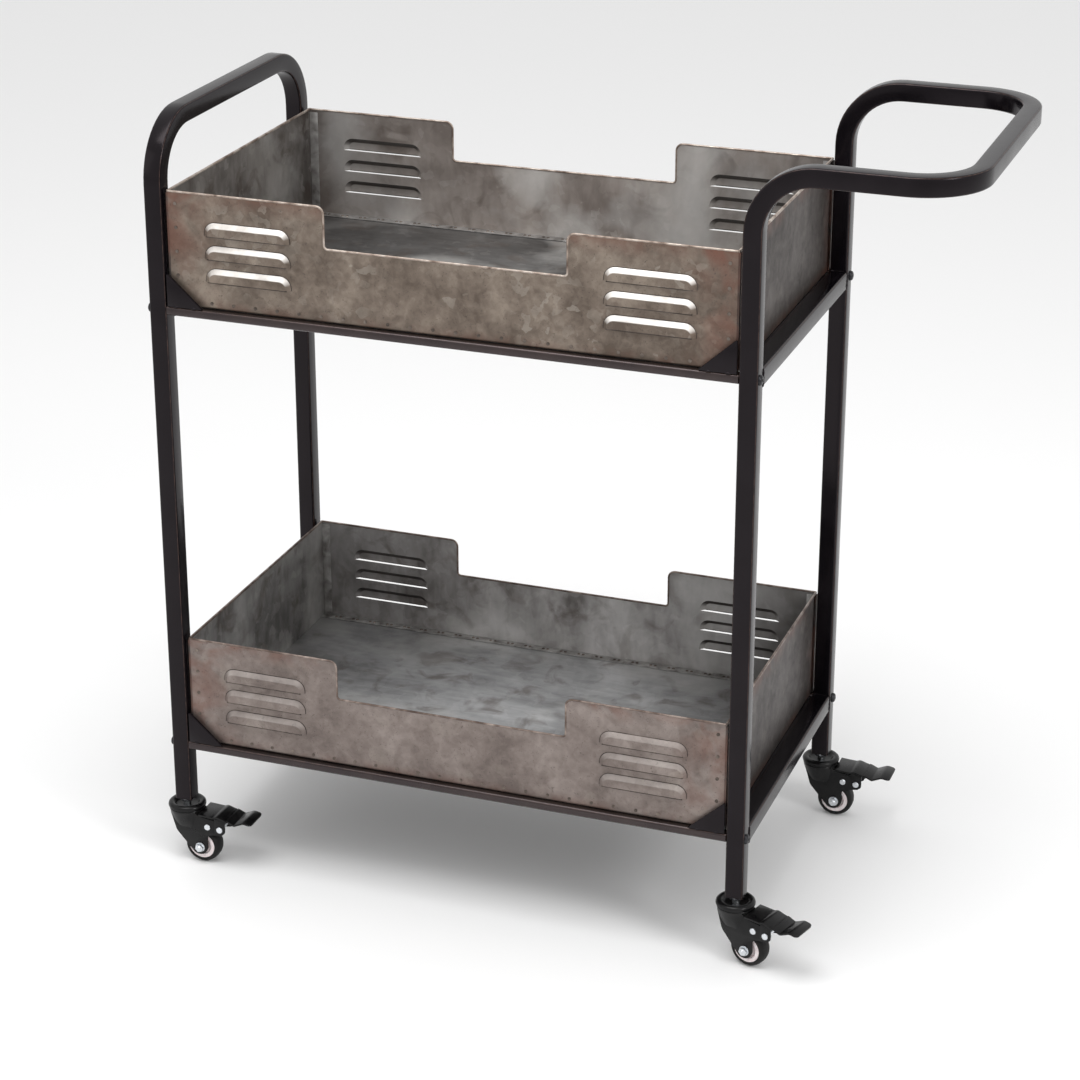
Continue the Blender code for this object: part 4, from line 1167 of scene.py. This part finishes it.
bevel(1.6 * MM, 3)
face_out()
pick("FACE", lambda face: face.normal.z < 0)
if bpy.context.object.data.total_face_sel:
    take_all()
    bpy.ops.mesh.flip_normals()
mode("OBJECT")
modify(pedal, "SOLIDIFY", thickness=PEDAL_SHEET, offset=-1)
modify(pedal, "BEVEL", width=0.35 * MM, segments=2, angle_limit=math.radians(50))
smooth(30)
lug_outline = [(39.5, 60.5, 0), (39.5, 42.5, 4), (52.5, 42.5, 4), (52.5, 58.6, 0), (43.0, 61.4, 0)]
lugs = [
    cut_plate("front_lug", lug_outline, -lug_out, -lug_in, 0.35 * MM),
    cut_plate("rear_lug", lug_outline, lug_in, lug_out, 0.35 * MM)]
pedal = join_pieces([pedal, *lugs], "pedal")

for corner in ("front_left", "front_right", "rear_left", "rear_right"):
    joint = next(made for made in frame["joints"] if made["name"] == f"roll_{corner}")
    turn = -math.atan2(joint["axis"][0], joint["axis"][1])
    post_x = LEFT_X if "left" in corner else RIGHT_X
    post_y = FRONT_Y if "front" in corner else REAR_Y
    place = (post_x, post_y, 0)
    turning = f"swivel_{corner}"
    rolling = f"wheel_{corner}"
    for source, name, finish, slot, body, replaced in (
            (stem, f"stem_{corner}_bolt", ZINC, "bright_zinc", "body", [f"stem_{corner}"]),
            (nut, f"stem_{corner}_nut", ZINC, "bright_zinc", "body", []),
            (plug, f"stem_{corner}_plug", ENAMEL, "black_pressing", "body", []),
            (fork, f"fork_{corner}_pressing", ENAMEL, "black_pressing", turning, [f"fork_{corner}"]),
            (rivets, f"fork_{corner}_rivets", ZINC, "bright_zinc", turning, []),
            (bolt, f"axle_{corner}_bolt", ZINC, "bright_zinc", turning, [f"axle_{corner}"]),
            (washer, f"axle_{corner}_washer", ZINC, "bright_zinc", turning, []),
            (axle_nut, f"axle_{corner}_nut", ZINC, "bright_zinc", turning, []),
            (tyre, f"{rolling}_tread", RUBBER, "black_rubber", rolling, [f"{rolling}_tyre"]),
            (hub, f"{rolling}_centre", NYLON, "pale_nylon", rolling, [f"{rolling}_hub"]),
            (pedal, f"pedal_{corner}_tread", ENAMEL, "black_pressing", f"brake_{corner}", [f"pedal_{corner}"])):
        made = copy_piece(source, name, place, 0.0 if body == "body" else turn)
        dress(made, finish, body, replaced)
for spare in (stem, nut, plug, fork, rivets, bolt, washer, axle_nut, tyre, hub, pedal):
    bpy.data.objects.remove(spare)


# FLOOR, LIGHTS AND CAMERA
# A plain pale studio: a wide floor, a soft key light from the handle end and a large soft light overhead.

floor = start_piece("studio_floor", "plane", edit=False, size=30, location=(0, 0, 0))
floor_finish = Finish("pale_floor", 0.0, [("Base Color", (0.86, 0.86, 0.86, 1)), ("Roughness", 0.8)])
floor.data.materials.append(floor_finish.material)

world = bpy.data.worlds.new("soft_studio")
world.use_nodes = True
world.node_tree.nodes["Background"].inputs["Color"].default_value = (1, 1, 1, 1)
world.node_tree.nodes["Background"].inputs["Strength"].default_value = 0.86
bpy.context.scene.world = world


def add_softbox(name, place, aim, size, power):
    """A square area light that faces a point."""
    bpy.ops.object.light_add(type="AREA", location=place)
    light = bpy.context.object
    light.name = name
    light.data.size = size
    light.data.energy = power
    light.rotation_euler = (Vector(aim) - Vector(place)).to_track_quat("-Z", "Y").to_euler()


add_softbox("key_light", (2.6, -1.2, 2.0), (0, 0, 0.4), 0.8, 24)
add_softbox("overhead_light", (-0.3, -0.8, 3.0), (0, 0, 0.3), 1.8, 46)
add_softbox("fill_light", (-2.6, -2.2, 1.8), (0, 0, 0.4), 1.8, 6)

CAMERA_PLACE = (0.9467, -2.7534, 1.6231)
CAMERA_YAW = math.radians(20.03)
CAMERA_PITCH = math.radians(-21.94)
bpy.ops.object.camera_add(location=CAMERA_PLACE)
camera = bpy.context.object
camera.name = "studio_camera"
camera.rotation_euler = (QUARTER + CAMERA_PITCH, 0, CAMERA_YAW)
camera.data.sensor_width = 36
camera.data.lens = 95.9
camera.data.shift_y = -0.05
camera.data.clip_end = 60
bpy.context.scene.camera = camera
bpy.context.scene.view_settings.view_transform = "Standard"
